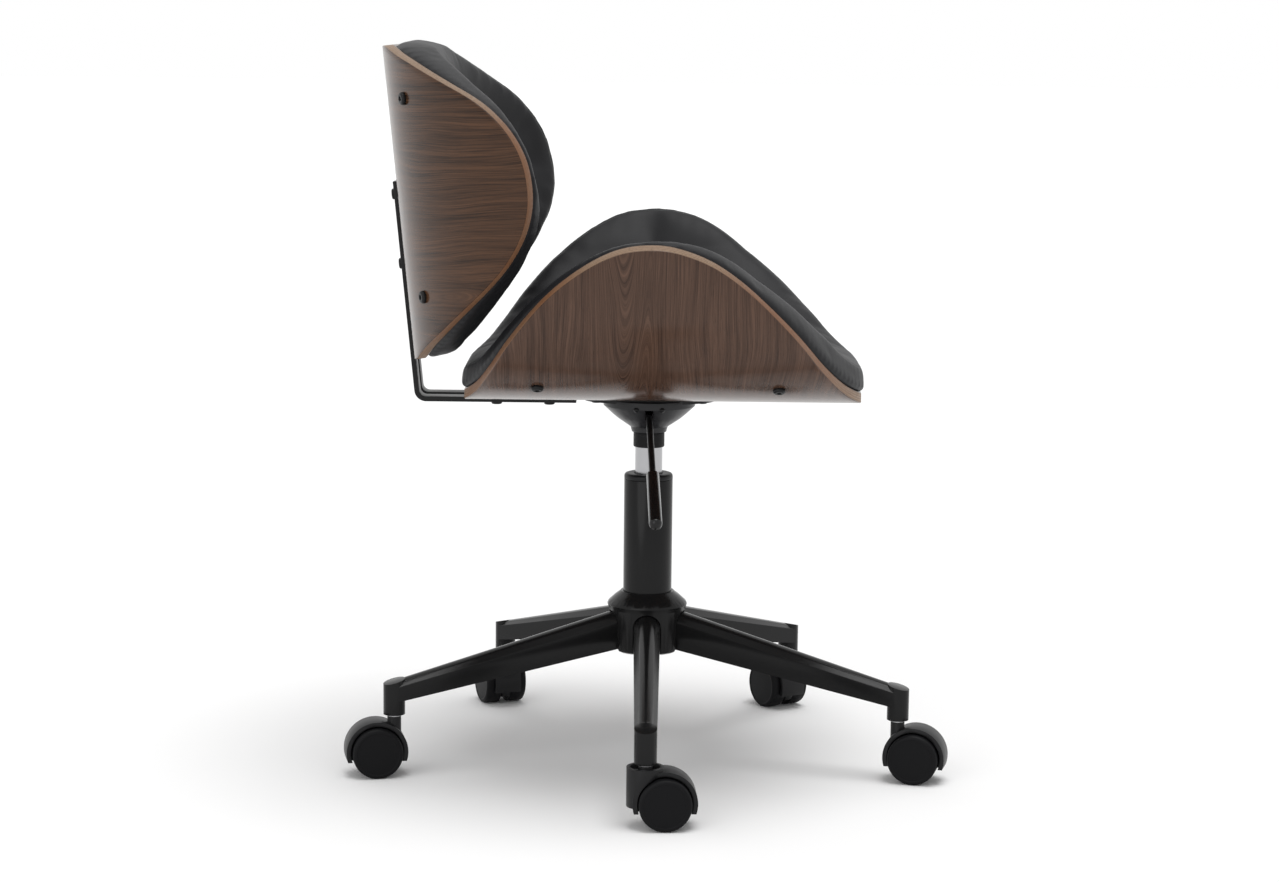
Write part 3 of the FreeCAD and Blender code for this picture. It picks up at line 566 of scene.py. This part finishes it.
@made_once
def ply_edge_material(tree, shader, dark_place, dark_reach, both_ends):
    """Cut plies, with a darker, warmer stretch about a place along the sheet, or at both ends alike."""
    colour = bpy.context.scene.chair_shell.edge_colour
    ply_turns, warmth, fade = 4.5, 0.9, 0.04
    layers = calculate(tree, "SINE", times(tree, attribute(tree, "ply_depth"), math.tau * ply_turns))
    layers = span(tree, layers, -0.6, 0.6)
    along = put(tree, "SeparateXYZ", {"Vector": sheet_place(tree)}).outputs["Y"]
    if both_ends:
        along = absolute(tree, along)
    distance = absolute(tree, minus(tree, along, dark_place))
    warm = span(tree, distance, dark_reach, dark_reach - fade, warmth * 0.15, warmth)
    place = object_place(tree)
    warm = times(tree, warm, span(tree, cloud(tree, place, 26.0), 0.3, 0.7, 0.7, 1.0))
    speckle = cloud(tree, place, 420.0, 3.0)
    tone = blend_colour(tree, layers, rgba(colour, 0.6), rgba(colour))
    tone = blend_colour(tree, span(tree, speckle, 0.52, 0.75), tone, rgba(colour, 0.5))
    warm_colour = (0.165, 0.066, 0.026, 1.0)
    feed(tree, shader, {
        "Base Color": blend_colour(tree, warm, tone, warm_colour), "Specular IOR Level": 0.2,
        "Roughness": span(tree, speckle, 0.3, 0.7, 0.42, 0.55), "Normal": relief(tree, layers, 0.15)})


@made_once
def leather_material(tree, shader):
    """Charcoal leather with a pebbled grain and one seam; painted shade darkens its grooves."""
    colour = bpy.context.scene.chair_pads.leather
    place = object_place(tree)
    from_seam = absolute(tree, attribute(tree, "seam_run"))
    cells = put(tree, "TexVoronoi", {"Vector": place, "Scale": 760.0},
                feature="DISTANCE_TO_EDGE").outputs["Distance"]
    pebble = span(tree, cells, 0.0, 0.28)
    fine = cloud(tree, place, 1500.0, 3.0)
    tone = blend_colour(tree, span(tree, cloud(tree, place, 11.0, 5.0), 0.3, 0.7),
                        rgba(colour, 0.86), rgba(colour, 1.14))
    # Painted shade: the leather turns darker in the grooves between the pebbles
    tone = blend_colour(tree, span(tree, pebble, 0.0, 1.0, 0.35, 0.0), tone, rgba(colour, 0.5))
    # Painted shade along the seam: the leather turns darker in a narrow band in the seam's groove
    shaded_groove_half, lip_half = 0.0011, 0.0032
    tone = blend_colour(tree, span(tree, from_seam, 0.0, shaded_groove_half, 0.8, 0.0), tone, rgba(colour, 0.25))
    lips = calculate(tree, "POWER", span(tree, from_seam, 0.0, lip_half), 0.5)
    height = plus(tree, times(tree, pebble, 0.16), times(tree, fine, 0.06))
    height = plus(tree, height, times(tree, lips, 4.0))
    feed(tree, shader, {
        "Base Color": tone, "Roughness": span(tree, fine, 0.3, 0.7, 0.44, 0.52),
        "Normal": relief(tree, height, 0.5, 0.0003), "Specular IOR Level": 0.18})


# Finishes of steel, plastic and hidden wood; a colour given by name is one of the steel settings
FINISHES = {
    "Gloss Black Steel": dict(
        colour="gloss_black", roughness=0.2, grain=260.0, bump=0.03, specular=0.17, unevenness=0.05),
    "Matt Black Steel": dict(colour="matt_black", roughness=0.36, grain=1400.0, bump=0.15, specular=0.24),
    "Satin Black Steel": dict(
        colour=(0.0150, 0.0150, 0.0165), roughness=0.3, grain=500.0, bump=0.05, specular=0.3),
    "Wheel Plastic": dict(
        colour=(0.0045, 0.0045, 0.0052), roughness=0.5, grain=1100.0, bump=0.14, specular=0.12),
    "Black Plastic": dict(
        colour=(0.0065, 0.0065, 0.0072), roughness=0.42, grain=1100.0, bump=0.14, specular=0.24),
    "Grip Plastic": dict(colour=(0.004, 0.004, 0.0044), roughness=0.14, grain=700.0, bump=0.02, specular=0.3),
    "Grey Plastic": dict(colour=(0.16, 0.16, 0.17), roughness=0.5, grain=900.0, bump=0.15),
    "Bright Steel": dict(colour=(0.42, 0.42, 0.43), roughness=0.24, grain=500.0, bump=0.05, metallic=1.0),
    "Zinc Steel": dict(colour=(0.42, 0.42, 0.43), roughness=0.34, grain=700.0, bump=0.1, metallic=1.0),
    "Plain Ply": dict(colour=(0.42, 0.29, 0.19), roughness=0.55, grain=300.0, bump=0.2),
}


def finish(name):
    values = dict(FINISHES[name])
    if isinstance(values["colour"], str):
        values["colour"] = getattr(bpy.context.scene.chair_steel, values["colour"])
    return coated_material(name, **values)


@made_once
def floor_material(tree, shader, colour):
    """Matt floor that turns white far from the chair."""
    distance = put(tree, "VectorMath", {0: object_place(tree)}, operation="LENGTH").outputs["Value"]
    tone = blend_colour(tree, span(tree, distance, 1.0, 6.0), rgba(colour), (1.0, 1.0, 1.0, 1.0))
    feed(tree, shader, {"Base Color": tone, "Roughness": 0.9, "Specular IOR Level": 0.0})


# Pieces


class CHAIR_OT_shells(bpy.types.Operator):
    """Bent plywood shells of seat and back, with walnut veneer and bare ply edges"""
    bl_idname = "chair.shells"
    bl_label = "Plywood Shells"

    ring_shares = [0.0, 0.035, 0.08, 0.13, 0.19, 0.25, 0.32, 0.39, 0.46, 0.53, 0.60, 0.67, 0.74, 0.80, 0.86,
                   0.91, 0.95, 0.98]
    rim_points = 300
    edge_slant = 0.2

    def make(self, sheet):
        """Bent shell, and the material index of each of its faces."""
        settings = bpy.context.scene.chair_shell
        # Rings shrink alike in both directions, so the length's insets follow the girth's
        half = sheet.half_girth
        piece = ring_disc(sheet.rim(self.rim_points), [half * share for share in self.ring_shares],
                          half, half, sheet.middle)
        for vertex in piece.data.vertices:
            vertex.co.z = 0.0
        begin_edit(piece)
        bpy.ops.mesh.extrude_region_move(TRANSFORM_OT_translate={"value": (0, 0, settings.ply)})
        face_outwards()
        end_edit()
        round_edges(piece, settings.edge_round, 2, 60.0)
        mesh = piece.data
        depth = mesh.attributes.new("ply_depth", "FLOAT", "POINT")
        for index, vertex in enumerate(mesh.vertices):
            depth.data[index].value = vertex.co.z / settings.ply
        marks = [int(abs(face.normal.z) < self.edge_slant) for face in mesh.polygons]
        bend_sheet(piece, sheet)
        smooth_shade(piece, 50.0)
        return piece, marks

    def execute(self, context):
        shell = context.scene.chair_shell
        for part, title, sheet, tones, figure, dark_edge in (
                ("seat", "Lower", SEAT_SHEET, (shell.seat_dark, shell.seat_light),
                 {"figure_place": 0.028, "figure": 0.6},
                 {"dark_place": 0.13, "dark_reach": 0.075, "both_ends": True}),
                ("back", "Upper", BACK_SHEET, (shell.back_dark, shell.back_light),
                 {"figure_place": -0.11, "figure": 0.35},
                 {"dark_place": -0.03, "dark_reach": 0.13, "both_ends": False})):
            materials = [veneer_material("Walnut Veneer " + title, *tones, **figure),
                         ply_edge_material("Ply Edge " + title, **dark_edge)]
            piece, marks = self.make(sheet)
            finish_piece(piece, part + "_shell_veneered", materials, [part + "_shell"])
            for face, mark in zip(piece.data.polygons, marks):
                face.material_index = mark
        return {"FINISHED"}


class CHAIR_OT_pads(bpy.types.Operator):
    """Upholstered pads of seat and back: swollen as cloth while flat, then bent with their shells"""
    bl_idname = "chair.pads"
    bl_label = "Upholstered Pads"

    seat_overhang = 0.0055
    back_overhang = 0.0015
    side_overhang = 0.0015
    # Rings of a pad's flat form: inset from the outline and share of the pad's thickness
    roll_shares = [(0.0070, 0.0), (0.0028, 0.02), (0.0006, 0.12), (0.0, 0.30), (0.0, 0.54), (0.0006, 0.70),
                   (0.0022, 0.84), (0.0048, 0.93), (0.0085, 0.98), (0.0140, 1.0)]
    inner_insets = [0.045, 0.068, 0.095, 0.12, 0.145]
    crown = 0.0010
    crown_swell = 0.0030
    rim_points = 220
    seam_points = 1600
    glue_gap = 0.0003
    held_below = 0.003
    cloth_frames = 20
    # Smoothing by how flat a point lies: its least share on the roll, all of it on the top face
    flat_from = 0.90
    flat_run = 0.08
    least_smoothing = 0.30
    # The seam's place under the top edge, and the creases beside it with their scale, seed and height
    seam_drop = 0.003
    crease_run = 0.012
    crease_width = 0.016
    creases = [(26.0, 3.0, 0.0004), (70.0, 9.0, 0.00025)]

    def fullness(self, sheet, girth):
        """How full the filling is at a girth, and how much a wing's slope adds there."""
        reach = min(abs(girth) / sheet.half_girth, 1.0)
        return math.cos(reach * math.pi / 2), clamp((reach - 0.15) / 0.3)

    def seat_thickness(self, girth, along):
        """Thickness at the flat top's edge and on its crown: full on the front slopes, thin at the ends."""
        swell, wing = self.fullness(SEAT_SHEET, girth)
        rim, middle, slope, rear, front = 0.0140, 0.0225, 0.0145, 0.0090, 0.0060
        run = along / (SEAT_SHEET.rear if along > 0 else SEAT_SHEET.front)
        thin_ends = rear * max(run - 0.6, 0.0) / 0.4 + front * max(-run - 0.8, 0.0) / 0.2
        edge = rim + middle * swell ** 0.72 + slope * math.sin(math.pi * clamp(-run)) * wing - thin_ends
        return edge, edge + self.crown + self.crown_swell * swell

    def back_thickness(self, girth, along):
        """The same for the back, which is fuller low on the wings and at its top."""
        swell, wing = self.fullness(BACK_SHEET, girth)
        rim, middle, slope, top = 0.0150, 0.0205, 0.0165, 0.0120
        run = along / BACK_SHEET.rear
        low = math.sin(math.pi * clamp((0.15 - run) / 1.3)) * wing
        high = clamp((run - 0.38) / 0.4)
        edge = rim + middle * swell ** (0.75 + 0.12 * run) + slope * low + top * high
        return edge, edge + self.crown + self.crown_swell * swell

    def flat_pad(self, sheet, thickness, overhang):
        """Flat pad in rings, with a rolled edge and a closed underside."""
        half = sheet.half_girth + self.side_overhang
        length = (sheet.front + sheet.rear) / 2 + overhang
        insets = [inset for inset, _ in self.roll_shares] + self.inner_insets
        rim = sheet.rim(self.rim_points, overhang, self.side_overhang)
        piece = ring_disc(rim, insets, half, length, sheet.middle)
        count, inner = len(self.roll_shares), len(self.inner_insets)
        for vertex in piece.data.vertices:
            ring = min(round(vertex.co.z / MM), count + inner - 1)
            edge, crown = thickness(vertex.co.x, vertex.co.y)
            if ring < count:
                vertex.co.z = edge * self.roll_shares[ring][1]
            else:
                rise = min((ring - count + 1) / inner, 1.0)
                vertex.co.z = edge + (crown - edge) * math.sin(rise * math.pi / 2)
        begin_edit(piece)
        pick(piece, "edges", lambda edge: edge.is_boundary)
        bpy.ops.mesh.edge_face_add()
        bpy.ops.mesh.inset(thickness=0.02)
        face_outwards()
        end_edit()
        return piece

    def swell(self, piece, voxel, most):
        """Remesh the flat pad, blow it up a little as cloth and cap how far it moves."""
        modify(piece, "REMESH", mode="VOXEL", voxel_size=voxel)
        self.even_out(piece, 6)
        rest = [vertex.co.copy() for vertex in piece.data.vertices]
        held = piece.vertex_groups.new(name="Held")
        held.add([k for k, co in enumerate(rest) if co.z < self.held_below], 1.0, "REPLACE")
        activate(piece)
        cloth = piece.modifiers.new("Swelling", "CLOTH")
        assign(cloth.settings, quality=4, mass=0.35, tension_stiffness=12.0, compression_stiffness=12.0,
               bending_stiffness=5.0, shrink_min=0.0, use_pressure=True, uniform_pressure_force=4.0,
               vertex_group_mass=held.name)
        cloth.settings.effector_weights.gravity = 0.0
        assign(cloth.collision_settings, use_collision=False, use_self_collision=False)
        scene = bpy.context.scene
        for step in range(self.cloth_frames):
            scene.frame_set(step + 1)
        bpy.ops.object.modifier_apply(modifier=cloth.name)
        scene.frame_set(1)
        for vertex, co in zip(piece.data.vertices, rest):
            move = vertex.co - co
            if move.length > most:
                vertex.co = co + move * (most / move.length)
        piece.vertex_groups.clear()
        self.even_out(piece, 20)

    def even_out(self, piece, rounds):
        """Smooth the top face, and the roll only a little."""
        top = piece.vertex_groups.new(name="Top")
        mesh = bmesh.new()
        mesh.from_mesh(piece.data)
        mesh.normal_update()
        for vertex in mesh.verts:
            flatness = (vertex.normal.z - self.flat_from) / self.flat_run
            top.add([vertex.index], min(max(flatness, self.least_smoothing), 1.0), "REPLACE")
        mesh.free()
        modify(piece, "SMOOTH", factor=0.5, iterations=rounds, vertex_group=top.name)
        piece.vertex_groups.clear()

    def mark_seam(self, piece, sheet, thickness, overhang):
        """Store how far every point lies from the seam, and crease the leather beside the edge."""
        rim = sheet.rim(self.seam_points, overhang, self.side_overhang)
        tree = kdtree.KDTree(len(rim))
        for index, place in enumerate(rim):
            tree.insert((place.x, place.y, 0.0), index)
        tree.balance()
        seam = piece.data.attributes.new("seam_run", "FLOAT", "POINT")
        far = 0.05
        for index, vertex in enumerate(piece.data.vertices):
            co = vertex.co
            edge = thickness(co.x, co.y)[0]
            inset = tree.find((co.x, co.y, 0.0))[2]
            run = min(inset, far) - max(edge * 0.97 - co.z, 0.0)
            if co.z < edge * 0.3:
                run = -far
            seam.data[index].value = run - self.seam_drop
            mask = math.exp(-((run - self.crease_run) / self.crease_width) ** 2)
            co.z += mask * sum(noise.noise(Vector((co.x * scale, co.y * scale, seed))) * height
                               for scale, seed, height in self.creases)

    def execute(self, context):
        settings = context.scene.chair_pads
        ply = context.scene.chair_shell.ply
        for part, sheet, thickness, overhang in (
                ("seat", SEAT_SHEET, self.seat_thickness, self.seat_overhang),
                ("back", BACK_SHEET, self.back_thickness, self.back_overhang)):
            piece = self.flat_pad(sheet, thickness, overhang)
            self.swell(piece, settings.voxel, settings.swell)
            modify(piece, "SUBSURF", levels=1, render_levels=1)
            self.mark_seam(piece, sheet, thickness, overhang)
            for vertex in piece.data.vertices:
                vertex.co.z += ply + self.glue_gap
            bend_sheet(piece, sheet)
            activate(piece)
            bpy.ops.object.shade_smooth()
            finish_piece(piece, part + "_pad_upholstered",
                         [leather_material("Charcoal Leather")], [part + "_pad"])
        return {"FINISHED"}


def socket_head(radius, height, dome, socket, depth):
    """Round screw head along +Z with a hexagon socket."""
    deselect()
    bpy.ops.mesh.primitive_cylinder_add(vertices=36, radius=radius, depth=height)
    piece = bpy.context.object
    piece.data.transform(Matrix.Translation((0, 0, height / 2)))

    def is_top(face):
        return face.normal.z > 0.95 and face.calc_center_median().xy.length < radius * 0.2

    begin_edit(piece)
    pick(piece, "edges", lambda edge: all(v.co.z > height * 0.9 and v.co.xy.length > radius * 0.9
                                          for v in edge.verts))
    bpy.ops.mesh.bevel(offset=dome, segments=5, profile=0.5, affect="EDGES")
    pick(piece, "faces", is_top)
    bpy.ops.mesh.inset(thickness=max(radius - dome - socket, radius * 0.05))
    end_edit()
    sector = math.pi / 3
    for vertex in piece.data.vertices:
        if vertex.co.z > height * 0.95 and vertex.co.xy.length < radius - dome * 1.02:
            angle = math.atan2(vertex.co.y, vertex.co.x)
            reach = socket * math.cos(sector / 2) / math.cos(angle % sector - sector / 2)
            vertex.co.xy = reach * math.cos(angle), reach * math.sin(angle)
    begin_edit(piece)
    pick(piece, "faces", is_top)
    bpy.ops.mesh.extrude_region_move(TRANSFORM_OT_translate={"value": (0, 0, -depth)})
    end_edit()
    round_edges(piece, radius * 0.035, 2, 40.0)
    return piece


class CHAIR_OT_fasteners(bpy.types.Operator):
    """Round-head socket bolts of straps and plate, and the larger side screws"""
    bl_idname = "chair.fasteners"
    bl_label = "Bolts And Screws"

    seat_side = SEAT_SHEET.half_girth * 0.4033
    back_side = BACK_SHEET.half_girth * 0.4529
    # Node, model, sheet, girths and places along the sheet, and the thickness that covers it there
    heads = [("seat_strap_bolts", "bolt", SEAT_SHEET, STRAP_XS, (0.1555, 0.1018), STRAP_THICKNESS),
             ("plate_bolts", "bolt", SEAT_SHEET, (0.0,), (-0.054, 0.054), STRAP_THICKNESS),
             ("back_strap_bolts", "bolt", BACK_SHEET, STRAP_XS, (0.0082, -0.0622), STRAP_THICKNESS),
             ("seat_side_screws", "screw", SEAT_SHEET, (-seat_side, seat_side), (0.110, -0.127), 0.0),
             ("back_side_screws", "screw", BACK_SHEET, (-back_side, back_side), (0.1047, -0.0883), 0.0)]

    def execute(self, context):
        models = {
            "bolt": socket_head(radius=0.0055, height=0.003, dome=0.0016, socket=0.0025, depth=0.0016),
            "screw": socket_head(radius=0.0063, height=0.004, dome=0.0022, socket=0.0026, depth=0.0020)}
        for node, model, sheet, girths, alongs, cover in self.heads:
            piece = copies_at(models[model], [sheet.outside(girth, along, cover)
                                              for girth in girths for along in alongs])
            smooth_shade(piece, 40.0)
            name = node.replace("bolts", "bolt_heads").replace("screws", "screw_heads")
            finish_piece(piece, name, [finish("Matt Black Steel")], [node])
        for model in models.values():
            bpy.data.objects.remove(model)
        return {"FINISHED"}


class CHAIR_OT_steel(bpy.types.Operator):
    """Straps, plate, bowl, lever, hub and legs, rounded from the frame's own pieces"""
    bl_idname = "chair.steel"
    bl_label = "Steel Parts"

    # Node, slot, finish and share of the edge rounding
    round_shares = [("strap_left", "black_steel", "Matt Black Steel", 1.0),
                    ("strap_right", "black_steel", "Matt Black Steel", 1.0),
                    ("seat_plate", "black_steel", "Matt Black Steel", 0.7),
                    ("mounting_bowl", "gloss_steel", "Satin Black Steel", 1.0),
                    ("lever_rod", "black_steel", "Matt Black Steel", 0.5),
                    ("lever_grip", "black_plastic", "Grip Plastic", 0.8),
                    ("base_hub", "gloss_steel", "Gloss Black Steel", 1.6)]
    round_shares += [("leg_%d" % (k + 1), "gloss_steel", "Gloss Black Steel", 1.6)
                     for k in range(len(LEG_ANGLES))]

    def execute(self, context):
        rounding = context.scene.chair_steel.edge_round
        # The plate shows as thick as the straps beside it, twice what the frame has
        level = Vector((0.0, 0.0, SEAT_UNDER))
        doubled = Matrix.Diagonal((1.0, 1.0, 2.0, 1.0))
        thicker = Matrix.Translation(level) @ doubled @ Matrix.Translation(-level)
        for node, slot, coating, share in self.round_shares:
            piece = node_copy(node)
            if node == "seat_plate":
                piece.data.transform(thicker)
            round_edges(piece, rounding * share, 3, 28.0)
            smooth_shade(piece, 32.0)
            finish_piece(piece, node + "_rounded", [finish(coating)], [node])
        return {"FINISHED"}


class CHAIR_OT_lift(bpy.types.Operator):
    """Column, cap, collar, the bowl's rivets and the plain pieces of the lift"""
    bl_idname = "chair.lift"
    bl_label = "Gas Lift"

    column_radius = 0.0250
    column_bore = 0.0232
    column_foot = 0.1140
    column_top = 0.2930
    cap_top = 0.2990
    tube_clear = 0.0144
    collar_bore = 0.01406
    collar_radius = 0.0160
    collar_foot = 0.3264
    collar_top = 0.3420
    rib_count = 11
    rib_pitch = 0.00125
    rib_low = 0.3272
    rib_depth = 0.0005
    # The rivets' places on the bowl, and the directions out of it there
    rivets = [((-0.0446, side * 0.013, 0.3692), (-0.65, side * 0.208, -0.73)) for side in (-1, 1)]
    # Frame nodes that show little or nothing and keep their own mesh, by finish
    plain_nodes = {"Bright Steel": ["pressure_tube", "piston_rod"],
                   "Zinc Steel": ["rod_clip", "thrust_bearing", "release_pin", "caster_stems",
                                  "lever_pivot_pin", "seat_nuts", "back_nuts", "seat_inserts",
                                  "back_inserts"],
                   "Grey Plastic": ["column_guide_bush"],
                   "Matt Black Steel": ["lever_bracket"],
                   "Plain Ply": ["seat_pad_board", "back_pad_board"]}

    def column(self):
        radius, bore, foot, top = self.column_radius, self.column_bore, self.column_foot, self.column_top
        return [(radius - 0.0014, foot + 0.0005), (radius - 0.0012, foot), (radius, foot + 0.0620),
                (radius, top - 0.0004), (radius - 0.0003, top), (bore, top), (bore, foot + 0.0030),
                (bore - 0.0010, foot)]

    def cap(self):
        radius, foot, top, bore = self.column_radius, self.column_top + 0.0002, self.cap_top, self.tube_clear
        return [(bore, foot), (radius - 0.0003, foot), (radius, foot + 0.0004), (radius, top - 0.0032),
                (radius - 0.0004, top - 0.0016), (radius - 0.0014, top - 0.0005), (radius - 0.0030, top),
                (bore + 0.0016, top), (bore + 0.0005, top - 0.0004), (bore, top - 0.0012)]

    def collar(self):
        radius, groove, top = self.collar_radius, self.collar_radius - self.rib_depth, self.collar_top
        profile = [(self.collar_bore, self.collar_foot), (radius - 0.0006, self.collar_foot)]
        for k in range(self.rib_count):
            low = self.rib_low + k * self.rib_pitch
            profile += [(radius, low), (radius, low + 0.0006), (groove, low + 0.0008),
                        (groove, low + 0.00105)]
        return profile + [(radius, top - 0.0009), (groove, top), (self.collar_bore, top)]

    def execute(self, context):
        for name, profile, steps, slot, coating, node in (
                ("column_turned", self.column(), 96, "gloss_steel", "Gloss Black Steel", "column_tube"),
                ("column_cap_turned", self.cap(), 96, "black_plastic", "Black Plastic", "column_cap_ring"),
                ("collar_turned", self.collar(), 72, "black_plastic", "Black Plastic", "tube_collar")):
            piece = lathe(profile, steps)
            smooth_shade(piece, 40.0)
            finish_piece(piece, name, [finish(coating)], [node])
        rivet = lathe([(0.0, -0.0010), (0.0030, -0.0010), (0.0030, 0.0004), (0.0026, 0.0011),
                       (0.0015, 0.0016), (0.0, 0.0018)], 24)
        pair = copies_at(rivet, self.rivets)
        smooth_shade(pair, 40.0)
        finish_piece(pair, "bowl_rivets", [finish("Matt Black Steel")], (), "seat")
        bpy.data.objects.remove(rivet)
        for coating, nodes in self.plain_nodes.items():
            for node in nodes:
                coat_node(node, coating)
        return {"FINISHED"}


def coat_node(node, coating):
    materials = frame["nodes"][node].data.materials
    materials.clear()
    materials.append(finish(coating))


class CHAIR_OT_casters(bpy.types.Operator):
    """Hooded twin-wheel casters"""
    bl_idname = "chair.casters"
    bl_label = "Casters"

    bore = 0.00305
    inner_face = 0.0054
    outer_face = 0.0230
    wall = 0.0032
    hub_radius = 0.0080
    rim_inside = 0.0219
    hood_rounding = 0.0007

    def wheel(self):
        """One wheel about +Z, its closed face outwards, with a rim step and a shallow dish."""
        radius, inner, outer = WHEEL_RADIUS, self.inner_face, self.outer_face
        web = outer - self.wall
        return lathe([(self.bore, inner), (self.hub_radius, inner), (self.hub_radius, web),
                      (self.rim_inside, web), (self.rim_inside, inner), (radius - 0.0006, inner),
                      (radius, inner + 0.0008), (radius, outer - 0.0030), (radius - 0.0006, outer - 0.0013),
                      (radius - 0.0018, outer - 0.0004), (radius - 0.0032, outer),
                      (radius - 0.0042, outer - 0.0001), (radius - 0.0046, outer - 0.0004),
                      (0.0120, outer - 0.0001), (0.0, outer), (0.0, web), (self.bore, web)], 64)

    def execute(self, context):
        wheel = self.wheel()
        smooth_shade(wheel, 38.0)
        for index, (leg, heading) in enumerate(zip(LEG_ANGLES, CASTER_HEADINGS)):
            caster = "caster_%d" % (index + 1)
            place = (Matrix.Rotation(math.radians(leg), 4, "Z")
                     @ Matrix.Translation((SOCKET_CIRCLE, 0.0, 0.0))
                     @ Matrix.Rotation(math.radians(heading - leg), 4, "Z")
                     @ Matrix.Translation((CASTER_TRAIL, 0.0, WHEEL_RADIUS)))
            for letter, turn in (("a", -90.0), ("b", 90.0)):
                node = "%s_wheel_%s" % (caster, letter)
                piece = copy_of(wheel, place @ Matrix.Rotation(math.radians(turn), 4, "X"))
                finish_piece(piece, node + "_turned", [finish("Wheel Plastic")], [node])
            node = caster + "_body"
            hood = node_copy(node)
            round_edges(hood, self.hood_rounding, 2, 30.0)
            smooth_shade(hood, 32.0)
            finish_piece(hood, node + "_rounded", [finish("Black Plastic")], [node])
            coat_node(caster + "_axle", "Zinc Steel")
        bpy.data.objects.remove(wheel)
        return {"FINISHED"}


class CHAIR_OT_stage(bpy.types.Operator):
    """Floor, studio light and the camera"""
    bl_idname = "chair.stage"
    bl_label = "Stage"

    floor_side = 60.0
    photo_focus = 2878.0
    photo_width = 1279.0
    film_width = 36.0
    eye_place = (-2.925, 0.0, 0.764)
    eye_pitch = 8.41
    eye_pan = -0.19
    eye_roll = 0.61
    # Name, share of the key light, angle of its disc and the way it shines
    lamp_shares = [("overhead_soft", 1.0, 34.0, (0.06, 0.10, -1.0)),
                   ("side_soft", 0.3, 40.0, (0.9, -0.6, -0.5))]

    def floor(self, settings):
        deselect()
        bpy.ops.mesh.primitive_plane_add(size=self.floor_side)
        plane = bpy.context.object
        plane.name = "floor"
        plane.data.materials.append(floor_material("Pale Floor", settings.floor_colour))

    def world(self, settings):
        """Even fill light, which the camera and reflections see as plain white."""
        world = bpy.data.worlds.new("Studio")
        bpy.context.scene.world = world
        world.use_nodes = True
        tree = world.node_tree
        tree.nodes.clear()
        path = put(tree, "LightPath").outputs
        seen = calculate(tree, "MAXIMUM", path["Is Camera Ray"], path["Is Glossy Ray"])
        seen = calculate(tree, "MAXIMUM", seen, path["Is Transmission Ray"])
        strength = blend_value(tree, seen, settings.sky, 1.0)
        light = put(tree, "Background", {"Color": (1.0, 1.0, 1.0, 1.0), "Strength": strength})
        put(tree, "OutputWorld", {"Surface": light.outputs["Background"]})

    def lamps(self, settings):
        for name, share, angle, aim in self.lamp_shares:
            data = bpy.data.lights.new(name, "SUN")
            data.energy = settings.key * share
            data.angle = math.radians(angle)
            lamp = bpy.data.objects.new(name, data)
            bpy.context.scene.collection.objects.link(lamp)
            lamp.rotation_euler = Vector(aim).to_track_quat("-Z", "Y").to_euler()

    def camera(self):
        """Camera where the photograph was taken from, beside the chair and looking along +X."""
        data = bpy.data.cameras.new("photo_view")
        assign(data, sensor_fit="HORIZONTAL", sensor_width=self.film_width, clip_start=0.01, clip_end=100.0,
               lens=self.photo_focus / self.photo_width * self.film_width)
        eye = bpy.data.objects.new("photo_view", data)
        bpy.context.scene.collection.objects.link(eye)
        place = Matrix.Translation(self.eye_place)
        for angle, axis in ((-90.0 - self.eye_pan, "Z"), (90.0 - self.eye_pitch, "X"), (self.eye_roll, "Z")):
            place = place @ Matrix.Rotation(math.radians(angle), 4, axis)
        eye.matrix_world = place
        bpy.context.scene.camera = eye

    def execute(self, context):
        settings = context.scene.chair_stage
        self.floor(settings)
        self.world(settings)
        self.lamps(settings)
        self.camera()
        context.scene.view_settings.view_transform = "Standard"
        return {"FINISHED"}


class CHAIR_PT_panel(bpy.types.Panel):
    """Lists the chair's operators and settings"""
    bl_idname = "CHAIR_PT_panel"
    bl_label = "Bentwood Task Chair"
    bl_space_type = "VIEW_3D"
    bl_region_type = "UI"
    bl_category = "Chair"

    def draw(self, context):
        for operator in OPERATORS:
            self.layout.operator(operator.bl_idname)
        for name in SETTINGS:
            box = self.layout.box()
            settings = getattr(context.scene, name)
            for key in settings.__annotations__:
                box.prop(settings, key)


SETTINGS = {"chair_shell": ChairShellSettings, "chair_pads": ChairPadSettings,
            "chair_steel": ChairSteelSettings, "chair_stage": ChairStageSettings}
OPERATORS = [CHAIR_OT_stage, CHAIR_OT_shells, CHAIR_OT_pads, CHAIR_OT_fasteners, CHAIR_OT_steel,
             CHAIR_OT_lift, CHAIR_OT_casters]
CLASSES = [*SETTINGS.values(), *OPERATORS, CHAIR_PT_panel]


def register():
    for kind in CLASSES:
        bpy.utils.register_class(kind)
    for name, group in SETTINGS.items():
        setattr(bpy.types.Scene, name, PointerProperty(type=group))


def unregister():
    for name in SETTINGS:
        delattr(bpy.types.Scene, name)
    for kind in reversed(CLASSES):
        bpy.utils.unregister_class(kind)


def main():
    register()
    bpy.ops.chair.stage()
    bpy.ops.chair.shells()
    bpy.ops.chair.pads()
    bpy.ops.chair.fasteners()
    bpy.ops.chair.steel()
    bpy.ops.chair.lift()
    bpy.ops.chair.casters()
    deselect()


if __name__ == "__main__":
    main()
